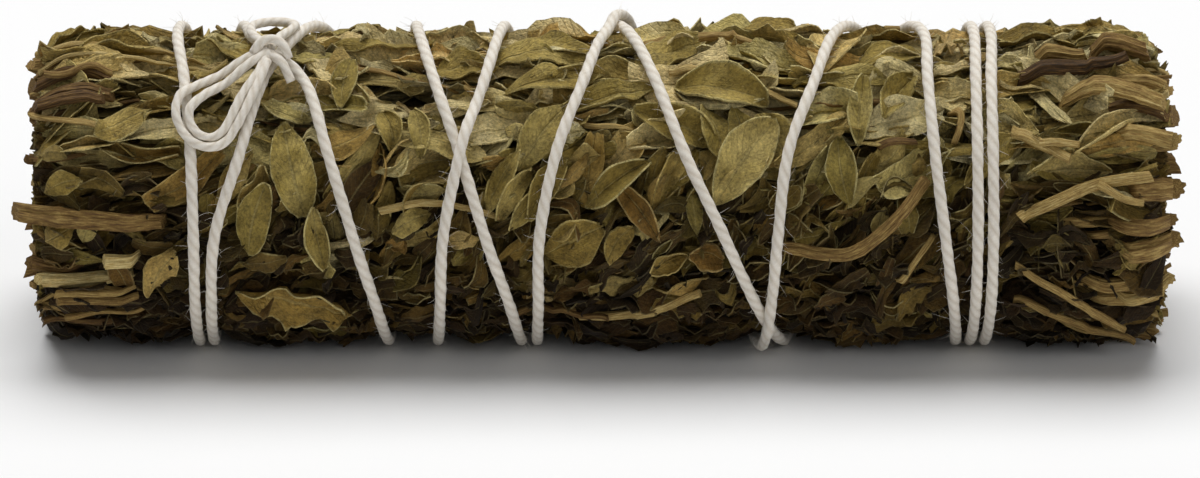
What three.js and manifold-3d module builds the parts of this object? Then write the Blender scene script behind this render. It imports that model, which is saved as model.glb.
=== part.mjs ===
// A bunch of dried sage: nineteen sprigs laid side by side and bound with one cotton string.
// Millimetres, +Z up, +X along the bunch. It lies on the plane Z = 0 on its flattened underside.

import * as THREE from 'three';
import { TessellateModifier } from 'three/addons/modifiers/TessellateModifier.js';
import { mergeVertices } from 'three/addons/utils/BufferGeometryUtils.js';
import Module from 'manifold-3d';

// ---- Driving dimensions, mm and degrees --------------------------------------------------------

const LEAF_RADIUS = 17.8; // leaf mass, under the string
const INNER_RING_RADIUS = 11.3; // where the outer ring of sprigs meets the inner ring
const CORE_RADIUS = 4.9; // the middle sprig
const AXIS_HEIGHT = 19.2; // of the bunch's axis over the surface it lies on
const UNDERSIDE_BULGE = 2.4; // how much the leaf mass swells between string and surface
const UNDERSIDE_SPREAD = 35; // degrees over which that swelling fades
const LEFT_END = -69.5;
const RIGHT_END = 69.5;
const END_TAPER = 0.035; // share of the radius lost at the two trimmed ends
const TAPER_LENGTH = 18;

const STRING_DIAMETER = 1.4;
const STRING_RADIUS = 19.6; // of the string's centreline round the bunch's axis
const STRING_FLOOR = 0.8; // lowest height of that centreline
const HOP = 2.0; // how far one pass climbs over another
const HOP_FLAT = 4; // half the length of string that stays at that height
const HOP_LENGTH = 11; // from the crossing to where it is down again
const GROOVE_REACH = 62; // degrees either side of the lowest point where the string is sunk in
const KNOT_RADIUS = 1.6;

const GAP = 0.3; // between neighbouring solids
const STEM_ROOM = 0.45; // between a stem and the six-sided channel through its leaves
const STEM_WAIST = 0.14; // share of a stem's radius lost between its nodes
const LEAF_THICKNESS = 0.4;
const LEAF_FACET = 4.6; // longest edge on a single outer leaf, so that it follows the round
const SURFACE_ARC = THREE.MathUtils.degToRad(LEAF_RADIUS); // mm of surface for one degree

// ---- Finishes ----------------------------------------------------------------------------------

const finish = (color, roughness) => new THREE.MeshStandardMaterial({ color, roughness, metalness: 0 });
const LEAF_OLIVE = finish(0x6b6434, 0.85);
const LEAF_BROWN = finish(0x57431f, 0.88);
const LEAF_PALE = finish(0x8b8148, 0.8);
const STEM_TAN = finish(0x8c6d3c, 0.75);
const COTTON = finish(0xddd5cb, 0.95);

// ---- Helpers -----------------------------------------------------------------------------------

const { degToRad, smoothstep } = THREE.MathUtils;
const wasm = await Module();
wasm.setup();

const bunch = new THREE.Group();

function addPiece(name, geometry, material) {
  geometry.computeVertexNormals();
  const mesh = new THREE.Mesh(geometry, material);
  mesh.name = name;
  bunch.add(mesh);
  return mesh;
}

function merged(geometry) {
  const bare = geometry.clone();
  bare.deleteAttribute('normal');
  bare.deleteAttribute('uv');
  return mergeVertices(bare, 1e-4);
}

function toSolid(geometry) {
  const clean = merged(geometry);
  const mesh = new wasm.Mesh({
    numProp: 3,
    vertProperties: new Float32Array(clean.attributes.position.array),
    triVerts: new Uint32Array(clean.index.array),
  });
  return new wasm.Manifold(mesh);
}

function fromSolid(solid) {
  const mesh = solid.getMesh();
  const geometry = new THREE.BufferGeometry();
  geometry.setAttribute('position', new THREE.BufferAttribute(mesh.vertProperties, 3));
  geometry.setIndex(new THREE.BufferAttribute(mesh.triVerts, 1));
  return geometry;
}

// What is left after slivers between two neighbouring grooves fall away.
function largestBody(solid) {
  return solid.decompose().reduce((best, body) => (body.volume() > best.volume() ? body : best));
}

// Radius of the leaf mass in direction angle (0 faces -Y, 90 is up, -90 is down).
function leafRadius(angle) {
  const fromBottom = (((angle + 90 + 540) % 360) - 180) / UNDERSIDE_SPREAD;
  return LEAF_RADIUS + UNDERSIDE_BULGE * Math.exp(-fromBottom * fromBottom);
}

// The trimmed ends are a little slimmer than the middle.
function endScale(x) {
  return 1 - END_TAPER * smoothstep(Math.abs(x), RIGHT_END - TAPER_LENGTH, RIGHT_END);
}

// Radius on which single leaves and twigs lie outside the leaf mass.
function bedRadius(x, angle) {
  return leafRadius(angle) * endScale(x) + GAP;
}

// A point of the bunch: x along it, direction angle, distance from its axis.
function onBunch(x, angle, radius, lowest = 0) {
  const turn = degToRad(angle);
  const y = -radius * Math.cos(turn);
  const z = AXIS_HEIGHT + radius * Math.sin(turn);
  return new THREE.Vector3(x, y, Math.max(z, lowest));
}

function eachVertex(geometry, move) {
  const position = geometry.attributes.position;
  const point = new THREE.Vector3();
  for (let i = 0; i < position.count; i += 1) {
    const moved = move(point.fromBufferAttribute(position, i));
    position.setXYZ(i, moved.x, moved.y, moved.z);
  }
  return geometry;
}

// A closed tube through points, with flat or slanted ends, and a radius that may vary.
function tube(points, radiusAt, sides = 8, endSlant = 0) {
  const last = points.length - 1;
  const positions = [];
  const index = [];
  let across = new THREE.Vector3(0, 0, 1);
  points.forEach((point, i) => {
    const before = points[Math.max(i - 1, 0)];
    const after = points[Math.min(i + 1, last)];
    const along = after.clone().sub(before).normalize();
    across = across.clone().addScaledVector(along, -across.dot(along)).normalize();
    const third = along.clone().cross(across);
    const radius = radiusAt(i / last);
    const slant = i === 0 || i === last ? endSlant : 0;
    for (let k = 0; k < sides; k += 1) {
      const turn = (k / sides) * Math.PI * 2;
      const out = across.clone().multiplyScalar(Math.cos(turn)).addScaledVector(third, Math.sin(turn));
      const corner = point.clone().addScaledVector(out, radius);
      corner.addScaledVector(along, slant * radius * Math.cos(turn));
      positions.push(corner.x, corner.y, corner.z);
    }
  });
  for (let i = 0; i < last; i += 1) {
    for (let k = 0; k < sides; k += 1) {
      const a = i * sides + k;
      const b = i * sides + ((k + 1) % sides);
      index.push(a, b, a + sides, b, b + sides, a + sides);
    }
  }
  for (let k = 1; k < sides - 1; k += 1) {
    index.push(0, k + 1, k);
    index.push(last * sides, last * sides + k, last * sides + k + 1);
  }
  const geometry = new THREE.BufferGeometry();
  geometry.setAttribute('position', new THREE.Float32BufferAttribute(positions, 3));
  geometry.setIndex(index);
  return geometry;
}

// ---- Sprigs ------------------------------------------------------------------------------------
// Each sprig is a woody stem with its leaves pressed round it. In section the sprigs fill a disc:
// one in the middle, six round it and twelve outside.

function sectorShape(innerRadius, outerRadius, from, to, outerSteps, innerSteps) {
  const points = [];
  const corner = (radius, angle, inset) => {
    const turn = degToRad(angle) + Math.asin(inset / radius);
    return new THREE.Vector2(-radius * Math.cos(turn), radius * Math.sin(turn));
  };
  const arc = (radius, steps, forward) => {
    for (let i = 0; i <= steps; i += 1) {
      const share = forward ? i / steps : 1 - i / steps;
      const inset = share === 0 ? GAP / 2 : share === 1 ? -GAP / 2 : 0;
      points.push(corner(radius, from + (to - from) * share, inset));
    }
  };
  arc(outerRadius, outerSteps, true);
  arc(innerRadius + GAP, innerSteps, false);
  return new THREE.Shape(points);
}

function discShape(radius, sides) {
  const points = [];
  for (let i = 0; i < sides; i += 1) {
    const turn = degToRad(15) + (i / sides) * Math.PI * 2;
    points.push(new THREE.Vector2(-radius * Math.cos(turn), radius * Math.sin(turn)));
  }
  return new THREE.Shape(points);
}

function addChannel(shape, y, z, radius) {
  const channel = new THREE.Path();
  for (let i = 0; i < 6; i += 1) {
    const turn = (i / 6) * Math.PI * 2;
    const place = new THREE.Vector2(y + radius * Math.cos(turn), z + radius * Math.sin(turn));
    if (i === 0) channel.moveTo(place.x, place.y);
    else channel.lineTo(place.x, place.y);
  }
  channel.closePath();
  shape.holes.push(channel);
}

// Runs a section (y, z about the axis) along the bunch and presses it to the bunch's form.
function leafMass(shape, left, right, steps) {
  const body = new THREE.ExtrudeGeometry(shape, { depth: 1, steps, bevelEnabled: false });
  return eachVertex(body, (point) => {
    const x = left + (right - left) * point.z;
    const angle = THREE.MathUtils.radToDeg(Math.atan2(point.y, -point.x));
    const swell = leafRadius(angle) / LEAF_RADIUS;
    const radius = Math.hypot(point.x, point.y) * swell * endScale(x);
    return onBunch(x, angle, radius);
  });
}

function stemAt(angle, distance, radius, left, right, slant) {
  const points = [];
  const steps = 5;
  for (let i = 0; i <= steps; i += 1) {
    const x = left + ((right - left) * i) / steps;
    points.push(onBunch(x, angle, distance * (leafRadius(angle) / LEAF_RADIUS) * endScale(x)));
  }
  return tube(points, (share) => radius * (1 - STEM_WAIST * (1 - Math.cos(share * 17))), 8, slant);
}

// The sprigs, each with direction angle, stem radius, and how far leaves and stem fall short of,
// or stand past, the bunch's two trimmed ends.
const OUTER_SPRIGS = [
  { angle: 0, stem: 1.9, distance: 16.0, stemAngle: 6, leaves: [1, -0.5], stemEnds: [2.1, 1.6], slant: 0.4 },
  { angle: 30, stem: 1.7, leaves: [-0.6, -1.4], stemEnds: [0.6, 1.4], slant: -0.5 },
  { angle: 60, stem: 1.6, leaves: [-1.0, -2.4], stemEnds: [0.4, 0.6], slant: 0.6 },
  { angle: 90, stem: 1.5, leaves: [-0.4, -1.2], stemEnds: [0.3, -0.2], slant: 0.3 },
  { angle: 120, stem: 1.4, leaves: [-0.8, -0.6], stemEnds: [-0.4, 0.8], slant: -0.3 },
  { angle: 150, stem: 1.8, leaves: [-0.2, -1.0], stemEnds: [1.0, 0.5], slant: 0.5 },
  { angle: 180, stem: 1.5, leaves: [-1.2, -0.4], stemEnds: [0.2, 1.2], slant: -0.4 },
  { angle: 210, stem: 1.6, leaves: [-0.5, -1.6], stemEnds: [0.9, 0.4], slant: 0.3 },
  { angle: 240, stem: 1.4, leaves: [-0.9, -0.8], stemEnds: [-0.3, 0.9], slant: 0.4 },
  { angle: 270, stem: 1.2, distance: 13.4, leaves: [-0.6, -1.2], stemEnds: [0.5, 0.3], slant: -0.3 },
  { angle: 300, stem: 1.4, leaves: [-1.4, -2.2], stemEnds: [-0.5, -0.4], slant: 0.5 },
  { angle: 330, stem: 1.6, leaves: [-0.3, -0.7], stemEnds: [0.4, 1.0], slant: -0.5 },
];
const INNER_SPRIGS = [
  { angle: 15, stem: 1.8, leaves: [-0.8, -1.6], stemEnds: [0.5, 1.8], slant: -0.6 },
  { angle: 75, stem: 1.6, leaves: [-1.4, -1.0], stemEnds: [0.2, 1.0], slant: 0.4 },
  { angle: 135, stem: 1.7, leaves: [-0.6, -1.8], stemEnds: [0.8, 0.3], slant: 0.3 },
  { angle: 195, stem: 1.5, leaves: [-1.0, -0.9], stemEnds: [0.3, 0.9], slant: -0.4 },
  { angle: 255, stem: 1.6, leaves: [-1.2, -1.3], stemEnds: [0.6, 0.4], slant: 0.5 },
  { angle: 315, stem: 1.7, leaves: [-0.7, -1.5], stemEnds: [0.1, 1.1], slant: -0.3 },
];
const CORE_SPRIG = { angle: 0, stem: 1.9, leaves: [-0.9, -1.1], stemEnds: [0.4, 0.8], slant: 0.2 };

function pieceEnds(sprig) {
  return {
    leafLeft: LEFT_END - sprig.leaves[0],
    leafRight: RIGHT_END + sprig.leaves[1],
    stemLeft: LEFT_END - sprig.stemEnds[0],
    stemRight: RIGHT_END + sprig.stemEnds[1],
  };
}

function leafTone(angle) {
  const height = Math.sin(degToRad(angle));
  if (height > 0.6) return LEAF_PALE;
  return height < -0.3 ? LEAF_BROWN : LEAF_OLIVE;
}

function buildRing(sprigs, firstNumber, inner, outer, halfSpan, arcs, steps) {
  return sprigs.map((sprig, i) => {
    const number = String(firstNumber + i).padStart(2, '0');
    const ends = pieceEnds(sprig);
    const distance = sprig.distance ?? (inner + outer) / 2;
    const from = sprig.angle - halfSpan;
    const shape = sectorShape(inner, outer, from, sprig.angle + halfSpan, ...arcs);
    const buried = distance + sprig.stem + GAP < outer;
    if (buried) {
      const turn = degToRad(sprig.angle);
      addChannel(shape, -distance * Math.cos(turn), distance * Math.sin(turn), sprig.stem + STEM_ROOM);
    }
    const leaves = leafMass(shape, ends.leafLeft, ends.leafRight, steps);
    const lies = sprig.stemAngle ?? sprig.angle;
    const stem = stemAt(lies, distance, sprig.stem, ends.stemLeft, ends.stemRight, sprig.slant);
    const past = RIGHT_END + 10;
    const groove = buried ? null : stemAt(lies, distance, sprig.stem + STEM_ROOM, -past, past, 0);
    return { ...sprig, number, leaves, stem, groove };
  });
}

// ---- The string --------------------------------------------------------------------------------
// One string runs from the knot along the bunch to the right in wide turns, is doubled there, and
// comes back crossing its own turns to the knot. Each row is one turn: x at the stations below,
// down the front, under the bunch and up its back.

const STATIONS = [90, 60, 30, 0, -30, -60, -90, -120, -150, -180, -225];
const TURNS = [
  [-39.6, -36.5, -33.3, -30.3, -27.7, -26.5, -26.2, -25.8, -25.2, -24.5, -23.4],
  [-22.4, -20.4, -17.2, -14.1, -11.2, -9.9, -9.7, -9.2, -6.5, -3.5, 0.2],
  [3.8, 6.8, 10.4, 15.2, 19.2, 22.3, 24.5, 27.5, 30.3, 33.0, 36.8],
  [40.2, 40.3, 41.0, 42.3, 43.6, 44.3, 44.4, 44.6, 44.8, 45.2, 45.8],
  [46.4, 46.2, 46.2, 46.3, 46.3, 46.2, 46.2, 46.4, 46.8, 47.3, 47.9],
  [48.5, 48.1, 48.1, 48.2, 48.2, 48.0, 48.0, 48.0, 44.6, 40.0, 34.0],
  [29.0, 26.4, 23.0, 21.8, 21.1, 19.9, 18.5, 16.0, 13.0, 10.0, 5.0],
  [0.5, -2.0, -5.4, -7.4, -7.6, -7.8, -7.8, -7.6, -8.6, -9.8, -11.2],
  [-12.5, -14.2, -17.1, -19.2, -19.7, -20.1, -20.6, -22.4, -25.4, -28.5, -33.0],
  [-37.4, -41.4, -44.1, -47.2, -47.9, -48.1, -48.1, -48.1, -49.6, -50.6, -51.6],
  [-52.4, -51.1, -50.1, -49.8, -49.9, -49.9, -49.9, -49.7, -48.3, -47.2, -45.6],
];
// Where a turn rides over one laid before it: turn number and direction angle.
const HOPS = [
  [5, -131], [5, -141], [5, -203],
  [6, -48], [6, -248],
  [7, -133],
  [8, 30], [8, -150],
  [10, -135],
];
// The knot sits on top of the turn that passes under it. Rows are x, direction angle, height.
const KNOT_ENTRY = [[-43.4, -270, 0], [-42.6, -280, 0.9], [-41.2, -290, 2.0]];
const KNOT_EXIT = [[-41.0, 68, 2.0], [-38.6, 65, 1.3]];
const BOW = [
  [-40.6, 66, 2.6], [-43.0, 62, 2.2], [-46.0, 56, 0.9], [-48.6, 50, 1.5], [-50.2, 44.5, 1.7],
  [-50.0, 39.5, 1.3], [-48.8, 36, 0.9], [-47.2, 35.6, 0.8], [-46.0, 38, 0.9], [-45.0, 43, 1.3],
  [-43.8, 50, 1.8], [-42.0, 58, 2.1], [-40.9, 65, 2.3],
];
const BOW_SECOND = [
  [-40.8, 67, 2.6], [-43.4, 65, 2.0], [-46.8, 60, 0.7], [-49.6, 55, 0.9], [-51.4, 50, 1.7],
  [-51.9, 44, 1.7], [-51.2, 38, 1.2], [-49.6, 33.4, 0.9], [-47.4, 32, 0.8], [-45.7, 34, 0.9],
  [-44.5, 39, 1.1], [-43.2, 46, 1.6], [-41.8, 55, 2.0], [-40.8, 63, 2.3],
];
const BOW_TOP = [
  [-40.6, 68, 2.5], [-39.6, 76, 1.9], [-38.4, 84, 1.3], [-37.8, 91, 1.0], [-38.8, 96, 0.9],
  [-40.2, 96, 1.0], [-41.6, 92, 1.3], [-43.0, 86, 1.6], [-42.9, 78, 2.0], [-41.6, 71, 2.5],
];
const KNOT_WRAP = [
  [-42.6, 66, 2.4], [-41.6, 68, 3.6], [-40.2, 68.5, 3.9], [-38.9, 67, 3.4], [-38.2, 64, 2.2],
];
const TAIL = [[-40.6, 66, 2.4], [-39.0, 62, 2.2], [-37.9, 57, 0.8]];
const KNOT_CORE = [-40.5, 67, 2.3];

function hopHeight(turn, angle) {
  let height = 0;
  for (const [hopTurn, hopAngle] of HOPS) {
    const away = Math.abs(degToRad(angle - hopAngle)) * STRING_RADIUS;
    const near = turn === hopTurn ? 1 - smoothstep(away, HOP_FLAT, HOP_LENGTH) : 0;
    height = Math.max(height, HOP * near);
  }
  return height;
}

const stringPoint = ([x, angle, height]) => onBunch(x, angle, STRING_RADIUS + height, STRING_FLOOR);

// Smooth points through a route of x, direction angle, height, with some steps between stations.
function smoothRoute(route, stepsBetween) {
  const knots = route.map(([x, angle, height]) => {
    return new THREE.Vector3(x, degToRad(angle) * STRING_RADIUS, height);
  });
  const curve = new THREE.CatmullRomCurve3(knots, false, 'centripetal');
  const count = (route.length - 1) * stepsBetween;
  return curve.getPoints(count).map((at) => {
    return [at.x, THREE.MathUtils.radToDeg(at.y / STRING_RADIUS), at.z];
  });
}

function windingRoute() {
  const route = [];
  TURNS.forEach((turn, t) => {
    turn.forEach((x, s) => {
      if (t > 0 || s > 0) route.push([x, STATIONS[s] - 360 * t, 0]);
    });
  });
  const lastTurn = TURNS.length - 1;
  const entry = KNOT_ENTRY.map(([x, angle, height]) => [x, angle - 360 * lastTurn, height]);
  return smoothRoute([...KNOT_EXIT, ...route, ...entry], 2);
}

function turnOf(angle) {
  return Math.max(Math.ceil((90 - angle - 1e-6) / 360) - 1, 0);
}

function windingPoints() {
  return windingRoute().map(([x, angle, height]) => {
    const turn = turnOf(angle);
    const hop = hopHeight(turn, angle + 360 * turn);
    return stringPoint([x, angle, Math.max(height, hop)]);
  });
}

function buildString() {
  const radius = STRING_DIAMETER / 2;
  const strand = (points) => toSolid(tube(points, () => radius, 8));
  let string = strand(windingPoints());
  for (const route of [BOW, BOW_SECOND, BOW_TOP, KNOT_WRAP, TAIL]) {
    string = string.add(strand(smoothRoute(route, 2).map(stringPoint)));
  }
  const heart = new THREE.SphereGeometry(KNOT_RADIUS, 10, 6);
  heart.translate(...stringPoint(KNOT_CORE).toArray());
  return fromSolid(string.add(toSolid(heart)));
}

// The room the string takes in the leaves under the bunch, turn by turn.
function undersideGrooves() {
  const route = windingRoute();
  return TURNS.map((row, turn) => {
    const isUnder = (angle) => Math.abs(angle + 360 * turn + 90) <= GROOVE_REACH;
    const under = route.filter(([, angle]) => isUnder(angle));
    const points = under.map(([x, angle]) => stringPoint([x, angle, 0]));
    return toSolid(tube(points, () => STRING_DIAMETER / 2 + GAP + 0.1, 8));
  });
}

// ---- Single leaves and twigs on the outside ----------------------------------------------------

// A flat outline (x along the bunch, v up its surface) given thickness and laid on the leaf mass.
function laidLeaf(x, angle, length, width, heading, shape = 'oval') {
  const tip = length / 2;
  const side = width / 2;
  const outline = new THREE.Shape();
  outline.moveTo(-tip, 0);
  if (shape === 'oval') {
    outline.bezierCurveTo(-tip * 0.7, side * 1.3, tip * 0.6, side * 1.3, tip, 0);
    outline.bezierCurveTo(tip * 0.6, -side * 1.3, -tip * 0.7, -side * 1.3, -tip, 0);
  } else {
    outline.lineTo(-tip * 0.5, side * 0.7);
    outline.lineTo(tip * 0.1, side);
    outline.lineTo(tip, side * 0.8);
    outline.lineTo(tip * 0.8, -side * 0.6);
    outline.lineTo(-tip * 0.2, -side);
  }
  const body = new THREE.ExtrudeGeometry(outline, {
    depth: LEAF_THICKNESS, steps: 1, bevelEnabled: false, curveSegments: 5,
  });
  body.rotateZ(degToRad(heading));
  const fine = new TessellateModifier(LEAF_FACET, 8).modify(body);
  return eachVertex(fine, (point) => {
    const direction = angle + point.y / SURFACE_ARC;
    const along = x + point.x;
    return onBunch(along, direction, bedRadius(along, direction) + point.z);
  });
}

const OUTER_LEAVES = [
  ['large_oval_leaf', LEAF_PALE, -37.6, 24, 11.0, 5.6, 100, 'oval'],
  ['grey_oval_leaf', LEAF_OLIVE, -42.3, 6, 9.0, 4.4, 75, 'oval'],
  ['small_folded_leaf', LEAF_PALE, -34.6, -2, 8.0, 3.2, 100, 'oval'],
  ['hanging_leaf', LEAF_OLIVE, -31.4, 60, 7.0, 3.0, 80, 'oval'],
  ['jagged_leaf', LEAF_BROWN, -38.0, -34, 13.0, 9.0, 20, 'torn'],
  ['pointed_leaf', LEAF_PALE, 15.0, 58, 11.0, 5.0, -15, 'oval'],
  ['large_pale_leaf', LEAF_PALE, 17.6, 28, 12.0, 6.0, 55, 'torn'],
  ['narrow_hanging_leaf', LEAF_PALE, 31.9, 48, 9.0, 3.2, 85, 'oval'],
  ['green_leaf', LEAF_OLIVE, 29.6, 24, 8.5, 3.8, 100, 'oval'],
  ['curled_leaf_middle', LEAF_OLIVE, 2.0, 20, 10.0, 4.2, 35, 'oval'],
  ['leaf_piece_left', LEAF_PALE, -58.8, 42, 7.0, 4.6, 25, 'torn'],
];

// Twigs on the outside: rows are x and direction angle; each keeps clear of the string.
function laidTwig(route, radius, slant = 0) {
  const points = route.map(([x, angle]) => onBunch(x, angle, bedRadius(x, angle) + radius));
  return tube(points, (share) => radius * (1 - 0.25 * share), 6, slant);
}

const OUTER_TWIGS = [
  ['curly_twig_left', 0.5, 0, [[-68.5, 66], [-65.8, 64], [-63.0, 66.5], [-60.0, 64.5]]],
  ['hooked_stem', 0.6, 0, [[42.9, 50], [44.2, 46.5], [44.0, 40], [43.4, 35]]],
  ['reddish_twig', 0.5, 0, [[34.0, 33], [36.5, 34.5], [38.8, 35.5]]],
  ['long_twig_lower_right', 0.7, 0, [[51.0, -14], [56.0, -22], [61.0, -34], [65.0, -46]]],
  ['long_twig_bottom_right', 0.6, 0, [[51.0, -30], [56.0, -37], [61.0, -46], [66.5, -58]]],
  ['thick_stem_end_top', 1.2, 0.5, [[67.8, 83], [64.5, 82.5], [60.5, 82]]],
];

// A twig with a side branch, joined where they grow together.
function forkedTwig(main, branch, radius) {
  const stem = toSolid(laidTwig(main, radius));
  return fromSolid(stem.add(toSolid(laidTwig(branch, radius * 0.8))));
}

// ---- The bunch ---------------------------------------------------------------------------------

const core = CORE_SPRIG;
const coreEnds = pieceEnds(core);
const coreShape = discShape(CORE_RADIUS, 12);
addChannel(coreShape, 0, 0, core.stem + STEM_ROOM);
const coreLeaves = leafMass(coreShape, coreEnds.leafLeft, coreEnds.leafRight, 2);
const coreStem = stemAt(0, 0, core.stem, coreEnds.stemLeft, coreEnds.stemRight, core.slant);
addPiece('sprig_01_leaves', coreLeaves, LEAF_OLIVE);
addPiece('sprig_01_stem', coreStem, STEM_TAN);

const innerRing = buildRing(INNER_SPRIGS, 2, CORE_RADIUS, INNER_RING_RADIUS, 30, [4, 4], 2);
const outerRing = buildRing(OUTER_SPRIGS, 8, INNER_RING_RADIUS, LEAF_RADIUS, 15, [4, 2], 6);
const grooves = undersideGrooves();

for (const sprig of [...innerRing, ...outerRing]) {
  let leaves = sprig.leaves;
  const lies = Math.abs(sprig.angle - 270) <= 30 && outerRing.includes(sprig);
  if (sprig.groove) leaves = fromSolid(toSolid(leaves).subtract(toSolid(sprig.groove)));
  if (lies) {
    let solid = toSolid(leaves);
    for (const groove of grooves) solid = solid.subtract(groove);
    leaves = fromSolid(largestBody(solid));
  }
  addPiece(`sprig_${sprig.number}_leaves`, leaves, leafTone(sprig.angle));
  addPiece(`sprig_${sprig.number}_stem`, sprig.stem, STEM_TAN);
}

for (const [name, tone, ...place] of OUTER_LEAVES) addPiece(name, laidLeaf(...place), tone);
for (const [name, radius, slant, route] of OUTER_TWIGS) {
  addPiece(name, laidTwig(route, radius, slant), STEM_TAN);
}
const forkMain = [[50.6, 40], [54.0, 34], [57.5, 28]];
const forkBranch = [[53.9, 34.2], [56.5, 34], [58.6, 33]];
addPiece('forked_twig', forkedTwig(forkMain, forkBranch, 0.8), STEM_TAN);
const longFork = [[51.5, 6], [56.0, 13], [61.0, 19], [67.5, 22]];
const longForkBranch = [[61.0, 19], [64.0, 14], [66.5, 12]];
addPiece('long_forked_twig', forkedTwig(longFork, longForkBranch, 0.9), STEM_TAN);

addPiece('binding_string', buildString(), COTTON);

// The origin is the middle of the rectangle it covers on the surface.
const middle = new THREE.Box3().setFromObject(bunch).getCenter(new THREE.Vector3());
bunch.position.set(-middle.x, -middle.y, 0);

export default bunch;
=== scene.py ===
"""A dried sage bunch lying on a table, bound from end to end with one cotton string.

Leaves are laid one by one over the bunch, each on those below it, then drawn in where the string
pulls tight. Sizes are in millimetres and degrees until a mesh is made in metres. A place on the
bunch is x along its axis, a turn round it (0 faces the front, 90 is up) and a radius.
"""

import logging
import math
from dataclasses import dataclass, field
from enum import Enum
from typing import Callable, Sequence

import bpy
import numpy as np
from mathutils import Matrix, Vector, kdtree


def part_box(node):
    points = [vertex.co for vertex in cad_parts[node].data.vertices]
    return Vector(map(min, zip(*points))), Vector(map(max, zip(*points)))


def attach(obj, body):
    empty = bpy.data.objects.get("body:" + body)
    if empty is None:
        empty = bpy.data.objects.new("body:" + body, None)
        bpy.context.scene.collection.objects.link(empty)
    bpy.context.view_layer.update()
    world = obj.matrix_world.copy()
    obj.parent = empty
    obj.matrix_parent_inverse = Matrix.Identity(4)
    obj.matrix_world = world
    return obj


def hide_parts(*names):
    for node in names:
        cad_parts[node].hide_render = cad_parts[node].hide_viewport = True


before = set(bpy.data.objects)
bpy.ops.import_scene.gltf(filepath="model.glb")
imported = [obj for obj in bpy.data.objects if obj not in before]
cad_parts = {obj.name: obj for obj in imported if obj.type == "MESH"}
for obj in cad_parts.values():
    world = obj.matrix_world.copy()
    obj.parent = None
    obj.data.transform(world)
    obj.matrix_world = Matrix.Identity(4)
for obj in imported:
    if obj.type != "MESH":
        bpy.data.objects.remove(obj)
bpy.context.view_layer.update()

LOG = logging.getLogger("sage_bunch")
MM = 0.001
ROOT = "root"
BAKE_MAP = "OFBake"

LEFT_END = -69.5
RIGHT_END = 69.5
LEAF_RADIUS = 17.8
INNER_RING_RADIUS = 11.3
CORE_RADIUS = 4.9
STRING_DIAMETER = 1.4
STRING_RADIUS = 19.6
STRING_FLOOR = 0.8
BULGE_RADIUS = 21.3
BED_RADIUS = 16.4
LEAF_THICKNESS = 0.16
LOOSE_LEAF_THICKNESS = 0.2
WHOLE_BLADE = (0.03, 0.97)
END_FACE_RADIUS = 18.6
END_LEAF_LIMIT = 18.9
END_LEAVES_PER_AREA = 0.62
HELD_RADIUS = 11.5
BARK_RING = 0.3
CREASE_ANGLE = 50.0
RELIEF = 0.85
LOWEST_POINT = 0.06
LOWEST_STRING = 0.05
LOWEST_FIBRE = 0.08
TOP_TURN = 75.0
CELL_MARGIN = 0.03
BAND_MARGIN = 0.08
FULL_TURN = 2.0 * np.pi
INNER_SPRIGS = 6
FIRST_OUTER_SPRIG = 8
OUTER_SPRIGS = 12
# The core's stem, then those of the inner ring and of the outer ring.
STEM_RADII = (
    1.9,
    1.8, 1.6, 1.7, 1.5, 1.6, 1.7,
    1.9, 1.7, 1.6, 1.5, 1.4, 1.8, 1.5, 1.6, 1.4, 1.2, 1.4, 1.6,
)

Array = np.ndarray
Shape = bpy.types.Object
Tree = bpy.types.NodeTree
Socket = bpy.types.NodeSocket
Material = bpy.types.Material
Random = np.random.Generator
Row = tuple[float, float, float]


def smooth_step(value: Array | float, low: float, high: float) -> Array:
    """Returns 0 below low, 1 above high and a smooth rise between them."""
    share = np.clip((np.asarray(value, float) - low) / (high - low), 0.0, 1.0)
    return share * share * (3.0 - 2.0 * share)


def within(value: float, low: float, high: float) -> float:
    """Returns the value, kept between two limits."""
    return float(np.clip(value, low, high))


def top_share(turn: float) -> float:
    """Returns 1 where the bunch faces up and a little to the front, and -1 right opposite."""
    return math.cos(math.radians(turn - TOP_TURN))


def arc_of(turn: Array | float) -> Array | float:
    """Turns degrees round the bunch into millimetres at the leaves' radius."""
    return np.radians(turn) * LEAF_RADIUS


def turn_of(arc: Array | float) -> Array | float:
    """Turns millimetres round the bunch into degrees."""
    return np.degrees(arc / LEAF_RADIUS)


def unit(rows: Array) -> Array:
    """Scales every row of three numbers to length one."""
    return rows / np.maximum(np.linalg.norm(rows, axis=-1, keepdims=True), 1e-9)


def sheet_normals(sheet: Array) -> Array:
    """Returns the unit normals of a grid of points."""
    return unit(np.cross(np.gradient(sheet, axis=0), np.gradient(sheet, axis=1)))


def columns(*parts: Array | float) -> Array:
    """Stands values side by side as rows, with single numbers repeated all the way down."""
    return np.column_stack(np.broadcast_arrays(*parts))


def running_total(steps: Array) -> Array:
    """Returns the sums of all steps before each place, from 0 on."""
    return np.concatenate([[0.0], np.cumsum(steps)])


def face_starts(counts: Array) -> Array:
    """Returns the number of every face's first corner."""
    return np.concatenate([[0], np.cumsum(counts)[:-1]])


def deselect_all() -> None:
    """Leaves edit mode and clears the selection."""
    if bpy.context.mode != "OBJECT":
        bpy.ops.object.mode_set(mode="OBJECT")
    bpy.ops.object.select_all(action="DESELECT")


def activate(shape: Shape) -> None:
    """Selects one object alone and makes it the active one."""
    deselect_all()
    shape.select_set(True)
    bpy.context.view_layer.objects.active = shape


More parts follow.
